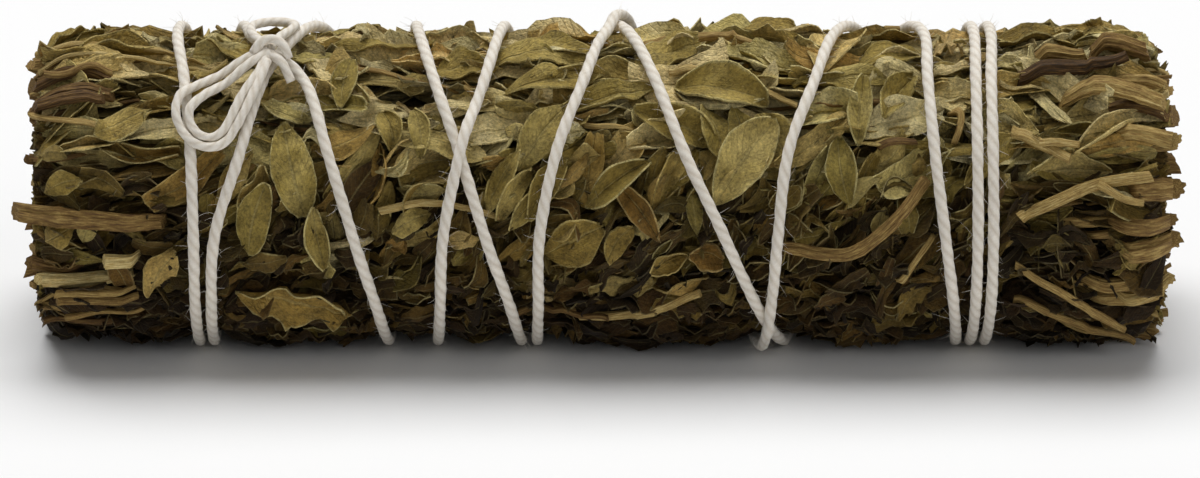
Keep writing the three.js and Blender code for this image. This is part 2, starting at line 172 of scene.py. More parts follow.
def linear(red: int, green: int, blue: int) -> tuple[float, float, float, float]:
    """Turns a display colour into the linear colour that shaders take.

    Args:
        red: Red, 0 to 255.
        green: Green, 0 to 255.
        blue: Blue, 0 to 255.

    Returns:
        The linear colour with full alpha.
    """
    def channel(value: int) -> float:
        """Turns one display channel into a linear one."""
        share = value / 255.0
        return share / 12.92 if share <= 0.04045 else ((share + 0.055) / 1.055) ** 2.4

    return (channel(red), channel(green), channel(blue), 1.0)


# ---- the bunch's own frame


@dataclass(frozen=True)
class BunchFrame:
    """Where the bunch's axis lies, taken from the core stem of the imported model."""

    middle_x: float
    axis_y: float
    axis_z: float

    @classmethod
    def from_core(cls) -> "BunchFrame":
        """Reads the axis from the core stem, which stands 0.4 mm further out on the right."""
        low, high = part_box("sprig_01_stem")
        middle = (low + high) / 2.0 / MM
        return cls(middle.x - 0.2, middle.y, middle.z)

    def place(self, polar: Array) -> Array:
        """Turns rows of x, turn and radius into points in metres.

        Args:
            polar: An array of rows x, turn in degrees, radius.

        Returns:
            The points, none of them below the table.
        """
        turn = np.radians(polar[:, 1])
        height = np.maximum(self.axis_z + polar[:, 2] * np.sin(turn), LOWEST_POINT)
        across = self.axis_y - polar[:, 2] * np.cos(turn)
        return columns(polar[:, 0] + self.middle_x, across, height) * MM

    def floor_radius(self, turn: Array, clearance: float = 0.0) -> Array:
        """Returns how far out the table lets anything reach in each direction."""
        down = np.maximum(-np.sin(np.radians(turn)), 0.05)
        return (self.axis_z - clearance) / down


# ---- blanks, modelled once


@dataclass
class Blank:
    """One modelled shape that is copied and bent many times.

    Attributes:
        loops: Vertex number of every face corner.
        counts: Number of corners of every face.
        unwrap: Place of every face corner in one cell of the unwrap.
        first: First coordinate of every vertex: share of the length.
        second: Second coordinate: share across a leaf, or angle round a rod in radians.
        third: Third coordinate: 1 on a leaf's underside, or share of a rod's radius.
    """

    loops: Array
    counts: Array
    unwrap: Array
    first: Array
    second: Array
    third: Array


class LeafBlank(Blank):
    """A flat leaf shell with a grid on both faces and a rim."""

    @classmethod
    def model(cls, along: int, across: int) -> "LeafBlank":
        """Models the shell from a grid with a wall thickness.

        Args:
            along: Faces along the leaf.
            across: Faces across it, an even number.

        Returns:
            The blank.
        """
        deselect_all()
        bpy.ops.mesh.primitive_grid_add(x_subdivisions=along, y_subdivisions=across, size=2.0)
        shell = bpy.context.object
        wall = shell.modifiers.new("wall", "SOLIDIFY")
        wall.thickness = 0.1
        wall.offset = -1.0
        bpy.ops.object.modifier_apply(modifier=wall.name)
        points, loops, counts = read_mesh(shell)
        share = (points[:, 0] + 1.0) / 2.0
        side = points[:, 1]
        under = (points[:, 2] < -0.05).astype(float)
        blank = cls(loops, counts, np.empty(0), share, side, under)
        blank.unwrap = blank.unwrap_faces()
        blank.along = along
        blank.across = across
        blank.rows = np.rint(share * along).astype(int)
        blank.columns = np.rint((side + 1.0) / 2.0 * across).astype(int)
        blank.measure()
        bpy.data.objects.remove(shell)
        return blank

    def unwrap_faces(self) -> Array:
        """Puts the top face in the lower half of a cell, the underside in the upper half."""
        starts = face_starts(self.counts)
        under = self.third[self.loops]
        share_under = np.add.reduceat(under, starts) / self.counts
        per_loop = np.repeat(share_under, self.counts)
        along = 0.03 + 0.94 * self.first[self.loops]
        side = self.second[self.loops]
        top = 0.25 + 0.21 * side
        unwrap = columns(along, top)
        unwrap[per_loop > 0.99, 1] += 0.5
        rim = (per_loop > 0.01) & (per_loop < 0.99) & (under > 0.5)
        unwrap[rim, 1] += 0.02 * np.sign(side[rim])
        unwrap[rim, 0] += 0.02 * np.sign(self.first[self.loops][rim] - 0.5)
        return unwrap

    def thicken(self, sheet: Array, thickness: float) -> Array:
        """Gives a bent top face its underside.

        Args:
            sheet: The top face as a grid of points.
            thickness: Distance between the faces.

        Returns:
            A point for every vertex of the blank.
        """
        under = sheet - sheet_normals(sheet) * thickness
        is_under = self.third[:, None] > 0.5
        return np.where(is_under, under[self.rows, self.columns], sheet[self.rows, self.columns])

    def measure(self) -> None:
        """Works out what draping needs: a fitted sheet and a finer sampling of the leaf."""
        share = np.linspace(0.0, 1.0, self.along + 1)
        side = np.linspace(-1.0, 1.0, self.across + 1)
        self.share, self.side = share, side
        grid_share, grid_side = np.meshgrid(share, side, indexing="ij")
        run, lean = grid_share.ravel() - 0.5, grid_side.ravel()
        self.basis = columns(1.0, run, run**2, lean, run * lean, lean**2)
        self.solver = np.linalg.pinv(self.basis)
        self.fine_rows = finer(self.along + 1, 4 if self.along < 12 else 2)
        self.fine_columns = finer(self.across + 1, 3 if self.across < 6 else 2)


def finer(count: int, split: int) -> Array:
    """Returns the matrix that samples a row of count values split times as finely."""
    places = np.linspace(0.0, count - 1.0, (count - 1) * split + 1)
    low = np.minimum(places.astype(int), count - 2)
    matrix = np.zeros((len(places), count))
    matrix[np.arange(len(places)), low] = 1.0 - (places - low)
    matrix[np.arange(len(places)), low + 1] = places - low
    return matrix


def read_mesh(shape: Shape) -> tuple[Array, Array, Array]:
    """Reads a mesh object.

    Args:
        shape: The object.

    Returns:
        Its points, the vertex number of each face corner, and each face's corner count.
    """
    mesh = shape.data
    points = np.empty(len(mesh.vertices) * 3)
    mesh.vertices.foreach_get("co", points)
    loops = np.empty(len(mesh.loops), int)
    mesh.loops.foreach_get("vertex_index", loops)
    counts = np.empty(len(mesh.polygons), int)
    mesh.polygons.foreach_get("loop_total", counts)
    return points.reshape(-1, 3), loops, counts


class RodBlank(Blank):
    """A straight rod with cut faces, each with an inner ring where the pith starts."""

    @classmethod
    def model(cls, sides: int, steps: int) -> "RodBlank":
        """Models the rod from a cylinder: its ends are inset and its sides are cut across.

        Args:
            sides: Sides round the rod.
            steps: Steps along it.

        Returns:
            The blank.
        """
        deselect_all()
        bpy.ops.mesh.primitive_cylinder_add(vertices=sides, radius=1.0, depth=2.0)
        rod = bpy.context.object
        mesh = rod.data
        for face in mesh.polygons:
            face.select = abs(face.normal.z) > 0.9
        bpy.ops.object.mode_set(mode="EDIT")
        bpy.ops.mesh.select_mode(type="FACE")
        bpy.ops.mesh.inset(thickness=BARK_RING, depth=0.0)
        bpy.ops.mesh.select_all(action="DESELECT")
        bpy.ops.mesh.select_mode(type="EDGE")
        bpy.ops.object.mode_set(mode="OBJECT")
        for edge in mesh.edges:
            ends = [mesh.vertices[v].co.z for v in edge.vertices]
            edge.select = abs(ends[0] - ends[1]) > 1.0
        bpy.ops.object.mode_set(mode="EDIT")
        bpy.ops.mesh.subdivide(number_cuts=steps - 1)
        bpy.ops.object.mode_set(mode="OBJECT")
        points, loops, counts = read_mesh(rod)
        share = (points[:, 2] + 1.0) / 2.0
        reach = np.hypot(points[:, 0], points[:, 1])
        angle = np.arctan2(points[:, 1], points[:, 0])
        blank = cls(loops, counts, np.empty(0), share, angle, reach)
        blank.unwrap = blank.unwrap_faces()
        bpy.data.objects.remove(rod)
        return blank

    def unwrap_faces(self) -> Array:
        """Rolls the bark out over the cell, with each cut face squeezed in beside it."""
        turn = (self.second[self.loops] / FULL_TURN) % 1.0
        share = self.first[self.loops]
        starts = face_starts(self.counts)
        highest = np.repeat(np.maximum.reduceat(turn, starts), self.counts)
        lowest = np.repeat(np.minimum.reduceat(turn, starts), self.counts)
        turn = np.where((highest - lowest > 0.5) & (turn < 0.5), turn + 1.0, turn)
        unwrap = columns(0.1 + 0.8 * share, 0.04 + 0.92 * turn / 1.001)
        reach = self.third[self.loops]
        flat = np.repeat(
            np.maximum.reduceat(share, starts) - np.minimum.reduceat(share, starts), self.counts
        ) < 1e-4
        sunk = np.repeat(np.minimum.reduceat(reach, starts), self.counts) < 0.98
        cut = flat & sunk
        angle = self.second[self.loops]
        middle = np.where(share > 0.5, 0.95, 0.05)
        unwrap[cut, 0] = middle[cut] + 0.035 * reach[cut] * np.cos(angle[cut])
        unwrap[cut, 1] = 0.5 + 0.4 * reach[cut] * np.sin(angle[cut])
        return unwrap


# ---- gathering copies in a mesh


@dataclass
class Copy:
    """One bent copy of a blank, waiting to be drawn in with the rest of the bunch.

    Attributes:
        blank: What it is a copy of.
        anchor: Rows of x, turn and radius that the drawing-in moves.
        lift: Radius added after the drawing-in.
        pattern: First attribute of every vertex, for its finish.
        grain: Second attribute of every vertex.
    """

    blank: Blank
    anchor: Array
    lift: Array
    pattern: Array
    grain: Array


@dataclass
class Sheaf:
    """Copies that make up one piece."""

    name: str
    copies: list[Copy] = field(default_factory=list)

    def stack(self, name: str) -> Array:
        """Returns one field of all the copies, end to end."""
        return np.concatenate([getattr(copy, name) for copy in self.copies])

    def build(self, place: Callable[[Array, Array], Array]) -> Shape:
        """Makes one mesh of all the copies, with their attributes and unwrap.

        Args:
            place: Turns anchors and lifts into points in metres.

        Returns:
            The object.
        """
        points = place(self.stack("anchor"), self.stack("lift"))
        offsets = face_starts([len(copy.anchor) for copy in self.copies])
        loops = np.concatenate([c.blank.loops + o for c, o in zip(self.copies, offsets)])
        counts = np.concatenate([copy.blank.counts for copy in self.copies])
        mesh = bpy.data.meshes.new(self.name)
        mesh.vertices.add(len(points))
        mesh.vertices.foreach_set("co", points.ravel())
        mesh.loops.add(len(loops))
        mesh.loops.foreach_set("vertex_index", loops.astype(np.int32))
        mesh.polygons.add(len(counts))
        starts = face_starts(counts)
        mesh.polygons.foreach_set("loop_start", starts.astype(np.int32))
        mesh.update(calc_edges=True)
        layer = mesh.uv_layers.new(name=BAKE_MAP)
        layer.data.foreach_set("uv", self.unwrap().ravel())
        self.note(mesh, "pattern", self.stack("pattern"))
        self.note(mesh, "grain", self.stack("grain"))
        piece = bpy.data.objects.new(self.name, mesh)
        bpy.context.scene.collection.objects.link(piece)
        activate(piece)
        bpy.ops.object.shade_smooth_by_angle(angle=math.radians(CREASE_ANGLE))
        piece.select_set(False)
        return piece

    def unwrap(self) -> Array:
        """Gives every copy a cell of its own on the square of the unwrap."""
        across = math.ceil(math.sqrt(len(self.copies)))
        cells = []
        for number, copy in enumerate(self.copies):
            corner = np.array([number % across, number // across]) + CELL_MARGIN
            cells.append((corner + (1.0 - 2.0 * CELL_MARGIN) * copy.blank.unwrap) / across)
        return np.concatenate(cells)

    @staticmethod
    def note(mesh: bpy.types.Mesh, name: str, rows: Array) -> None:
        """Writes one attribute of three numbers per vertex."""
        attribute = mesh.attributes.new(name, "FLOAT_VECTOR", "POINT")
        attribute.data.foreach_set("vector", rows.astype(np.float32).ravel())


# ---- the string's route

STATIONS = [90, 60, 30, 0, -30, -60, -90, -120, -150, -180, -225]
TURNS = [
    [-39.6, -36.5, -33.3, -30.3, -27.7, -26.5, -26.2, -25.8, -25.2, -24.5, -23.4],
    [-22.4, -20.4, -17.2, -14.1, -11.2, -9.9, -9.7, -9.2, -6.5, -3.5, 0.2],
    [3.8, 6.8, 10.4, 15.2, 19.2, 22.3, 24.5, 27.5, 30.3, 33.0, 36.8],
    [40.2, 40.3, 41.0, 42.3, 43.6, 44.3, 44.4, 44.6, 44.8, 45.2, 45.8],
    [46.4, 46.2, 46.2, 46.3, 46.3, 46.2, 46.2, 46.4, 46.8, 47.3, 47.9],
    [48.5, 48.1, 48.1, 48.2, 48.2, 48.0, 48.0, 48.0, 44.6, 40.0, 34.0],
    [29.0, 26.4, 23.0, 21.8, 21.1, 19.9, 18.5, 16.0, 13.0, 10.0, 5.0],
    [0.5, -2.0, -5.4, -7.4, -7.6, -7.8, -7.8, -7.6, -8.6, -9.8, -11.2],
    [-12.5, -14.2, -17.1, -19.2, -19.7, -20.1, -20.6, -22.4, -25.4, -28.5, -33.0],
    [-37.4, -41.4, -44.1, -47.2, -47.9, -48.1, -48.1, -48.1, -49.6, -50.6, -51.6],
    [-52.4, -51.1, -50.1, -49.8, -49.9, -49.9, -49.9, -49.7, -48.3, -47.2, -45.6],
]
# Where a turn rides over one laid before it: turn number and direction angle.
HOPS = [
    (5, -131), (5, -141), (5, -203),
    (6, -48), (6, -248),
    (7, -133),
    (8, 30), (8, -150),
    (10, -135),
]
HOP_HEIGHT = 1.45
HOP_FLAT = 1.5
HOP_LENGTH = 7.0
# Rows of x, turn and height over the string's own radius.
KNOT_ENTRY = [(-43.4, -270, 0.0), (-42.6, -280, 0.9), (-41.2, -290, 2.0)]
KNOT_EXIT = [(-41.0, 68, 2.0), (-38.6, 65, 1.3)]
BOW = [
    (-40.6, 66, 2.6), (-43.0, 62, 2.2), (-46.0, 56, 0.9), (-48.6, 50, 1.5), (-50.2, 44.5, 1.7),
    (-50.0, 39.5, 1.3), (-48.8, 36, 0.9), (-47.2, 35.6, 0.8), (-46.0, 38, 0.9), (-45.0, 43, 1.3),
    (-43.8, 50, 1.8), (-42.0, 58, 2.1), (-40.9, 65, 2.3),
]
BOW_SECOND = [
    (-40.8, 67, 2.6), (-43.4, 65, 2.0), (-46.8, 60, 0.7), (-49.6, 55, 0.9), (-51.4, 50, 1.7),
    (-51.9, 44, 1.7), (-51.2, 38, 1.2), (-49.6, 33.4, 0.9), (-47.4, 32, 0.8), (-45.7, 34, 0.9),
    (-44.5, 39, 1.1), (-43.2, 46, 1.6), (-41.8, 55, 2.0), (-40.8, 63, 2.3),
]
BOW_TOP = [
    (-40.6, 68, 2.5), (-39.6, 76, 1.9), (-38.4, 84, 1.3), (-37.8, 91, 1.0), (-38.8, 96, 0.9),
    (-40.2, 96, 1.0), (-41.6, 92, 1.3), (-43.0, 86, 1.6), (-42.9, 78, 2.0), (-41.6, 71, 2.5),
]
KNOT_WRAP = [
    (-42.6, 66, 2.4), (-41.6, 68, 3.6), (-40.2, 68.5, 3.9), (-38.9, 67, 3.4), (-38.2, 64, 2.2),
]
TAIL = [(-40.6, 66, 2.4), (-39.0, 62, 2.2), (-37.9, 57, 0.8)]
TIES = (BOW, BOW_SECOND, BOW_TOP, KNOT_WRAP, TAIL)


def smooth_route(route: Sequence[Row], steps: int) -> Array:
    """Runs a centripetal Catmull-Rom curve through a route on the bunch.

    Args:
        route: Rows of x, turn and height.
        steps: Steps between two rows.

    Returns:
        Rows of x, turn and height along the curve.
    """
    knots = np.array(route, float)
    knots[:, 1] = np.radians(knots[:, 1]) * STRING_RADIUS
    first = 2.0 * knots[0] - knots[1]
    last = 2.0 * knots[-1] - knots[-2]
    knots = np.vstack([first, knots, last])
    rows = []
    for a, b, c, d in zip(knots[:-3], knots[1:-2], knots[2:-1], knots[3:]):
        ta = 0.0
        tb = ta + max(np.linalg.norm(b - a), 1e-4) ** 0.5
        tc = tb + max(np.linalg.norm(c - b), 1e-4) ** 0.5
        td = tc + max(np.linalg.norm(d - c), 1e-4) ** 0.5
        t = np.linspace(tb, tc, steps, endpoint=False)[:, None]
        ab = (tb - t) / (tb - ta) * a + (t - ta) / (tb - ta) * b
        bc = (tc - t) / (tc - tb) * b + (t - tb) / (tc - tb) * c
        cd = (td - t) / (td - tc) * c + (t - tc) / (td - tc) * d
        abc = (tc - t) / (tc - ta) * ab + (t - ta) / (tc - ta) * bc
        bcd = (td - t) / (td - tb) * bc + (t - tb) / (td - tb) * cd
        rows.append((tc - t) / (tc - tb) * abc + (t - tb) / (tc - tb) * bcd)
    rows.append(knots[-2][None, :])
    curve = np.vstack(rows)
    curve[:, 1] = np.degrees(curve[:, 1] / STRING_RADIUS)
    return curve


@dataclass
class StringRoute:
    """Where the string runs round the bunch: its turns, and the bow that ties its ends."""

    bunch: BunchFrame

    def winding(self, steps: int = 24) -> Array:
        """Returns rows of x, turn and radius along the turns."""
        route = []
        for number, turn in enumerate(TURNS):
            for station, x in zip(STATIONS, turn):
                if number or station != STATIONS[0]:
                    route.append((x, station - 360.0 * number, 0.0))
        last = 360.0 * (len(TURNS) - 1)
        entry = [(x, turn - last, height) for x, turn, height in KNOT_ENTRY]
        curve = smooth_route([*KNOT_EXIT, *route, *entry], steps)
        number = np.maximum(np.ceil((90.0 - curve[:, 1] - 1e-6) / 360.0) - 1.0, 0.0)
        local = curve[:, 1] + 360.0 * number
        for hop_turn, hop_angle in HOPS:
            away = np.abs(np.radians(local - hop_angle)) * STRING_RADIUS
            rise = HOP_HEIGHT * (1.0 - smooth_step(away, HOP_FLAT, HOP_LENGTH))
            curve[:, 2] = np.maximum(curve[:, 2], np.where(number == hop_turn, rise, 0.0))
        return self.on_bunch(curve)

    def tie(self, route: Sequence[Row], steps: int = 12) -> Array:
        """Returns rows of x, turn and radius along one strand of the knot."""
        return self.on_bunch(smooth_route(route, steps))

    def on_bunch(self, curve: Array) -> Array:
        """Turns heights into radii, and keeps the string on the table."""
        radius = STRING_RADIUS + curve[:, 2]
        floor = self.bunch.floor_radius(curve[:, 1], STRING_FLOOR)
        return columns(curve[:, 0], curve[:, 1], np.minimum(radius, floor))


# ---- the bed of leaves


@dataclass
class LeafBed:
    """How high the leaves lie over the bunch, as a map that each new leaf is draped on.

    Attributes:
        bunch: The bunch's frame.
        route: Where the string runs.
        half_length: Half the length of the map.
        step: Size of a cell along the bunch.
        turn_step: Size of a cell round it, in degrees.
        turn_swell: How far the leaves swell beside a turn of the string.
        turn_spread: How far from it they have swollen by about half.
        tie_swell: The same beside the bow and the knot.
        tie_spread: The same for them.
        waviness: Height of the waves in the bulging leaves.
    """

    bunch: BunchFrame
    route: StringRoute
    half_length: float = 74.0
    step: float = 0.5
    turn_step: float = 1.5
    turn_swell: float = 1.9
    turn_spread: float = 3.0
    tie_swell: float = 2.6
    tie_spread: float = 2.2
    waviness: float = 0.35

    def __post_init__(self) -> None:
        """Starts with the bare pressed leaf mass."""
        self.columns = int(2 * self.half_length / self.step) + 1
        self.rows = int(360 / self.turn_step)
        x = np.linspace(-self.half_length, self.half_length, self.columns)
        turn = np.arange(self.rows) * self.turn_step
        self.x, self.turn = np.meshgrid(x, turn, indexing="ij")
        self.height = BED_RADIUS + 0.5 * self.ripple(self.x, self.turn, 3)
        self.reach = self.height
        self.cap = self.height

    @staticmethod
    def ripple(x: Array, turn: Array, seed: int) -> Array:
        """Returns a smooth random field over the bunch, about -1 to 1.

        Args:
            x: Places along the bunch.
            turn: Turns round it.
            seed: Which field.

        Returns:
            The field's values.
        """
        rng = np.random.default_rng(seed)
        total = np.zeros(np.broadcast(x, turn).shape)
        for _ in range(9):
            waves = rng.integers(1, 7)
            pace = rng.uniform(0.06, 0.35)
            phase = rng.uniform(0.0, FULL_TURN)
            total += np.sin(pace * x + np.radians(turn) * waves * rng.choice([-1, 1]) + phase)
        return total / 4.0

    def look_up(self, table: Array, x: Array, turn: Array) -> Array:
        """Reads a map between its cells.

        Args:
            table: The map.
            x: Places along the bunch.
            turn: Turns round it.

        Returns:
            The values there.
        """
        across = np.clip((x + self.half_length) / self.step, 0.0, self.columns - 1.001)
        round_ = (turn / self.turn_step) % self.rows
        i, j = across.astype(int), round_.astype(int) % self.rows
        a, b = across - i, round_ - np.floor(round_)
        k = (j + 1) % self.rows
        low = table[i, j] * (1.0 - b) + table[i, k] * b
        high = table[i + 1, j] * (1.0 - b) + table[i + 1, k] * b
        return low * (1.0 - a) + high * a

    def raise_to(self, x: Array, turn: Array, radius: Array) -> None:
        """Raises the map where something now lies."""
        i = np.clip(np.rint((x + self.half_length) / self.step).astype(int), 0, self.columns - 1)
        j = np.rint(turn / self.turn_step).astype(int) % self.rows
        np.maximum.at(self.height, (i, j), radius)

    def drape(
        self, blank: LeafBlank, blade: Array, spot: Row, flex: float, tuck: float
    ) -> Array:
        """Lays one bent leaf on what is there.

        Args:
            blank: The leaf's blank.
            blade: The bent leaf: a grid of along, across and up.
            spot: Its middle's x and turn, and its heading: 0 is along the bunch, 90 up round it.
            flex: How closely it follows what is under it, 0 to 1.
            tuck: Share of the leaf that lies under its neighbours.

        Returns:
            The top face as a grid of x, arc length and radius.
        """
        x, turn, heading = spot
        angle = math.radians(heading)
        along, across, up = blade[..., 0], blade[..., 1], blade[..., 2]
        places = x + along * math.cos(angle) - across * math.sin(angle)
        arc = along * math.sin(angle) + across * math.cos(angle)
        arc = arc + arc_of(turn)
        under = self.look_up(self.height, places, turn_of(arc))
        sheet = (blank.basis @ (blank.solver @ under.ravel())).reshape(under.shape)
        proud = under - sheet
        sheet = sheet + flex * 0.6 * proud + (1.0 - flex) * np.quantile(proud, 0.8)
        radius = sheet + up - np.quantile(up, tuck) + LEAF_THICKNESS
        sunk = np.maximum(under + 0.05 - radius, 0.0)
        sunk[1:-1] = (sunk[:-2] + 2.0 * sunk[1:-1] + sunk[2:]) / 4.0
        radius = radius + (0.8 if tuck < 0.2 else 0.15) * sunk
        laid = np.stack([places, arc, radius], axis=-1)
        fine = np.einsum("ij,jkc,lk->ilc", blank.fine_rows, laid, blank.fine_columns)
        across, arc, top = (fine[..., k].ravel() for k in range(3))
        self.raise_to(across, turn_of(arc), top + 0.03)
        return laid

    def finish_bed(self) -> None:
        """Works out how far each place is drawn in, once everything is laid."""
        wide = blurred(dilated(self.height, 3), 4)
        tight = blurred(dilated(self.height, 1), 2)
        cap = BULGE_RADIUS + self.waviness * self.ripple(self.x, self.turn, 11)
        cap -= 1.7 * smooth_step(-self.x, 52.0, 70.0) + 0.9 * smooth_step(self.x, 56.0, 70.0)
        winding = self.route.winding(12)
        under_turns, swell = self.pressed(winding, self.turn_swell, self.turn_spread, keep_low=True)
        cap = np.minimum(cap, under_turns)
        beside = smooth_step(swell, 0.2, 1.2)
        self.reach = wide * beside + tight * (1.0 - beside)
        for strand in TIES:
            tie = self.route.tie(strand)
            under_tie, _ = self.pressed(tie, self.tie_swell, self.tie_spread, keep_low=False)
            cap = np.minimum(cap, under_tie)
        floor = self.bunch.floor_radius(self.turn, 0.05)
        nearness = smooth_step(floor - cap, -0.6, 1.2)
        self.cap = np.minimum(cap * nearness + (1.0 - nearness) * np.minimum(cap, floor), floor)

    def pressed(
        self, strand: Array, rise: float, spread: float, keep_low: bool
    ) -> tuple[Array, Array]:
        """Returns how far out the leaves may stand beside and under one strand.

        Args:
            strand: Rows of x, turn and radius.
            rise: How far the leaves swell beside the strand.
            spread: How far from it they have swollen by about half.
            keep_low: Whether a strand that rides over another still counts at its low radius.

        Returns:
            A map of radii, and a map of how far the leaves have swollen.
        """
        places = []
        for x, turn, radius in strand:
            if keep_low:
                floor = float(self.bunch.floor_radius(np.array(turn), STRING_FLOOR))
                radius = min(STRING_RADIUS, floor)
            wrapped = turn % 360.0
            for shift in (-360.0, 0.0, 360.0):
                arc = arc_of(wrapped + shift)
                if -20.0 < arc < arc_of(360.0) + 20.0:
                    places.append((x, arc, radius))
        tree = kdtree.KDTree(len(places))
        for number, (x, arc, radius) in enumerate(places):
            tree.insert((x, arc, 0.0), number)
        tree.balance()
        cap = np.empty(self.x.shape)
        swollen = np.empty(self.x.shape)
        arcs = arc_of(self.turn)
        for i in range(self.columns):
            for j in range(self.rows):
                _, number, away = tree.find((self.x[i, j], arcs[i, j], 0.0))
                swell = rise * (1.0 - math.exp(-((max(away - 0.4, 0.0) / spread) ** 2)))
                far = 50.0 if away > 12.0 else 0.0
                cap[i, j] = places[number][2] - STRING_DIAMETER / 2.0 - 0.05 + swell + far
                swollen[i, j] = swell
        return cap, swollen

    def place(self, anchor: Array, lift: Array) -> Array:
        """Turns anchors and lifts into points in metres, drawn in by the string."""
        polar = self.settle(anchor)
        polar[:, 2] += lift
        return self.bunch.place(polar)

    def settle(self, polar: Array) -> Array:
        """Draws rows of x, turn and radius in to where the string holds them.

        Args:
            polar: The rows.

        Returns:
            The rows with their new radii.
        """
        x, turn, radius = polar[:, 0], polar[:, 1], polar[:, 2]
        reach = self.look_up(self.reach, x, turn)
        cap = self.look_up(self.cap, x, turn)
        depth = (reach - radius) / np.maximum(reach - HELD_RADIUS, 1.0)
        inside = np.clip(depth, 0.0, 1.0)
        relief = RELIEF * smooth_step(np.sin(np.radians(turn)), -0.95, -0.45)
        depth = depth + relief * inside * (1.0 - inside)
        drawn = np.where(radius > HELD_RADIUS, cap - (cap - HELD_RADIUS) * depth, radius)
        over = np.maximum(drawn - cap, 0.0)
        loose = smooth_step(cap, 19.0, 20.6)
        drawn = drawn - over * (0.93 - 0.6 * loose)
        return columns(x, turn, drawn)


def dilated(table: Array, reach: int) -> Array:
    """Spreads every map value's highest neighbour over reach cells each way."""
    grown = table
    for _ in range(reach):
        grown = np.maximum(grown, np.maximum(np.roll(grown, 1, 1), np.roll(grown, -1, 1)))
        padded = np.pad(grown, ((1, 1), (0, 0)), mode="edge")
        grown = np.maximum(grown, np.maximum(padded[:-2], padded[2:]))
    return grown


def blurred(table: Array, rounds: int) -> Array:
    """Smooths a map over a number of rounds."""
    soft = table
    for _ in range(rounds * 3):
        soft = (np.roll(soft, 1, 1) + 2.0 * soft + np.roll(soft, -1, 1)) / 4.0
        padded = np.pad(soft, ((1, 1), (0, 0)), mode="edge")
        soft = (padded[:-2] + 2.0 * soft + padded[2:]) / 4.0
    return soft


# ---- single leaves


@dataclass(frozen=True)
class Blade:
    """How one leaf is cut and bent before it is laid.

    Attributes:
        length: Length of the leaf.
        width: Its width at the widest.
        kept: Shares of a whole blade where this one starts and ends.
        full: Below 1 the widest place is nearer the tip, above 1 nearer the stalk.
        blunt: How blunt its ends are, smaller is blunter.
        folds: How far the two halves rise from the midrib, in degrees.
        rolls: How far the two edges roll up beyond that.
        twist: Turn from stalk to tip.
        arch: How far the middle stands over the ends.
        sway: How far the midrib curves sideways.
        ruffle: Height of the waves along the edges.
        waves: Number of those waves.
        crumple: Height of small random dents.
        jag: Depth of the tears at a cut end.
        tilt: How far it leans to one side, in degrees.
        pitch: How far its tip rises, in degrees.
        ragged: How uneven its outline is.
    """

    length: float
    width: float
    kept: tuple[float, float]
    full: float
    blunt: float
    folds: tuple[float, float]
    rolls: tuple[float, float]
    twist: float
    arch: float
    sway: float
    ruffle: float
    waves: float
    crumple: float
    jag: float
    tilt: float
    pitch: float = 0.0
    ragged: float = 1.0

    def bend(self, blank: LeafBlank, rng: Random) -> Array:
        """Bends the blank into this leaf.

        Args:
            blank: The flat leaf.
            rng: Random numbers for its waves and dents.

        Returns:
            A grid of along, across and up.
        """
        share, side = blank.share, blank.side
        kept = self.kept[0] + (self.kept[1] - self.kept[0]) * share
        outline = np.maximum(np.sin(np.pi * kept**self.full), 0.0) ** self.blunt
        half = self.width / 2.0 * np.maximum(outline, 0.05)
        middle = blank.across // 2
        across = np.zeros((blank.along + 1, blank.across + 1))
        up = np.zeros_like(across)
        steps = (np.arange(middle) + 0.5) / middle
        easing = 0.65 + 0.7 * np.abs(share - rng.uniform(0.2, 0.8))
        for sign, fold, roll in zip((-1, 1), self.folds, self.rolls):
            lean = np.radians(fold * easing[:, None] + roll * steps[None, :] ** 2)
            edge = rng.normal(0.0, 0.07 * self.ragged, size=len(share))
            edge[1:-1] = (edge[:-2] + edge[1:-1] + edge[2:]) / 2.0
            wave = np.sin(FULL_TURN * (rng.uniform(0.5, 1.6) * share + rng.uniform()))
            ragged = 1.0 + edge + 0.10 * self.ragged * wave
            wide = (half * ragged)[:, None]
            run = np.cumsum(np.cos(lean), axis=1) / middle * wide
            rise = np.cumsum(np.sin(lean), axis=1) / middle * wide
            columns = middle + sign * np.arange(1, middle + 1)
            across[:, columns] = sign * run
            up[:, columns] = rise
            phase = rng.uniform(0.0, FULL_TURN)
            wave = np.sin(FULL_TURN * self.waves * share + phase)[:, None]
            up[:, columns] += self.ruffle * wave * (np.arange(1, middle + 1) / middle) ** 1.5
        turn = np.radians(self.twist) * (share - 0.5)[:, None]
        across, up = (
            across * np.cos(turn) - up * np.sin(turn),
            across * np.sin(turn) + up * np.cos(turn),
        )
        dents = rng.normal(size=across.shape)
        dents[1:-1] = (dents[:-2] + dents[1:-1] + dents[2:]) / 2.0
        up = up + self.crumple * dents
        up = up - self.arch * 4.0 * ((share - 0.5) ** 2)[:, None]
        across = across + self.sway * (np.sin(np.pi * share) - 0.64)[:, None]
        along = np.repeat(((share - 0.5) * self.length)[:, None], blank.across + 1, axis=1)
        along = along - 0.06 * self.length * np.abs(side)[None, :] * (share[:, None] - 0.5)
        if self.jag:
            torn = self.jag * rng.uniform(-1.0, 1.0, size=blank.across + 1)
            along[-1] += torn
            along[-2] += 0.4 * torn
        up = up + math.tan(math.radians(self.tilt)) * across
        up = up + math.tan(math.radians(self.pitch)) * along
        return np.stack([along, across, up], axis=-1)


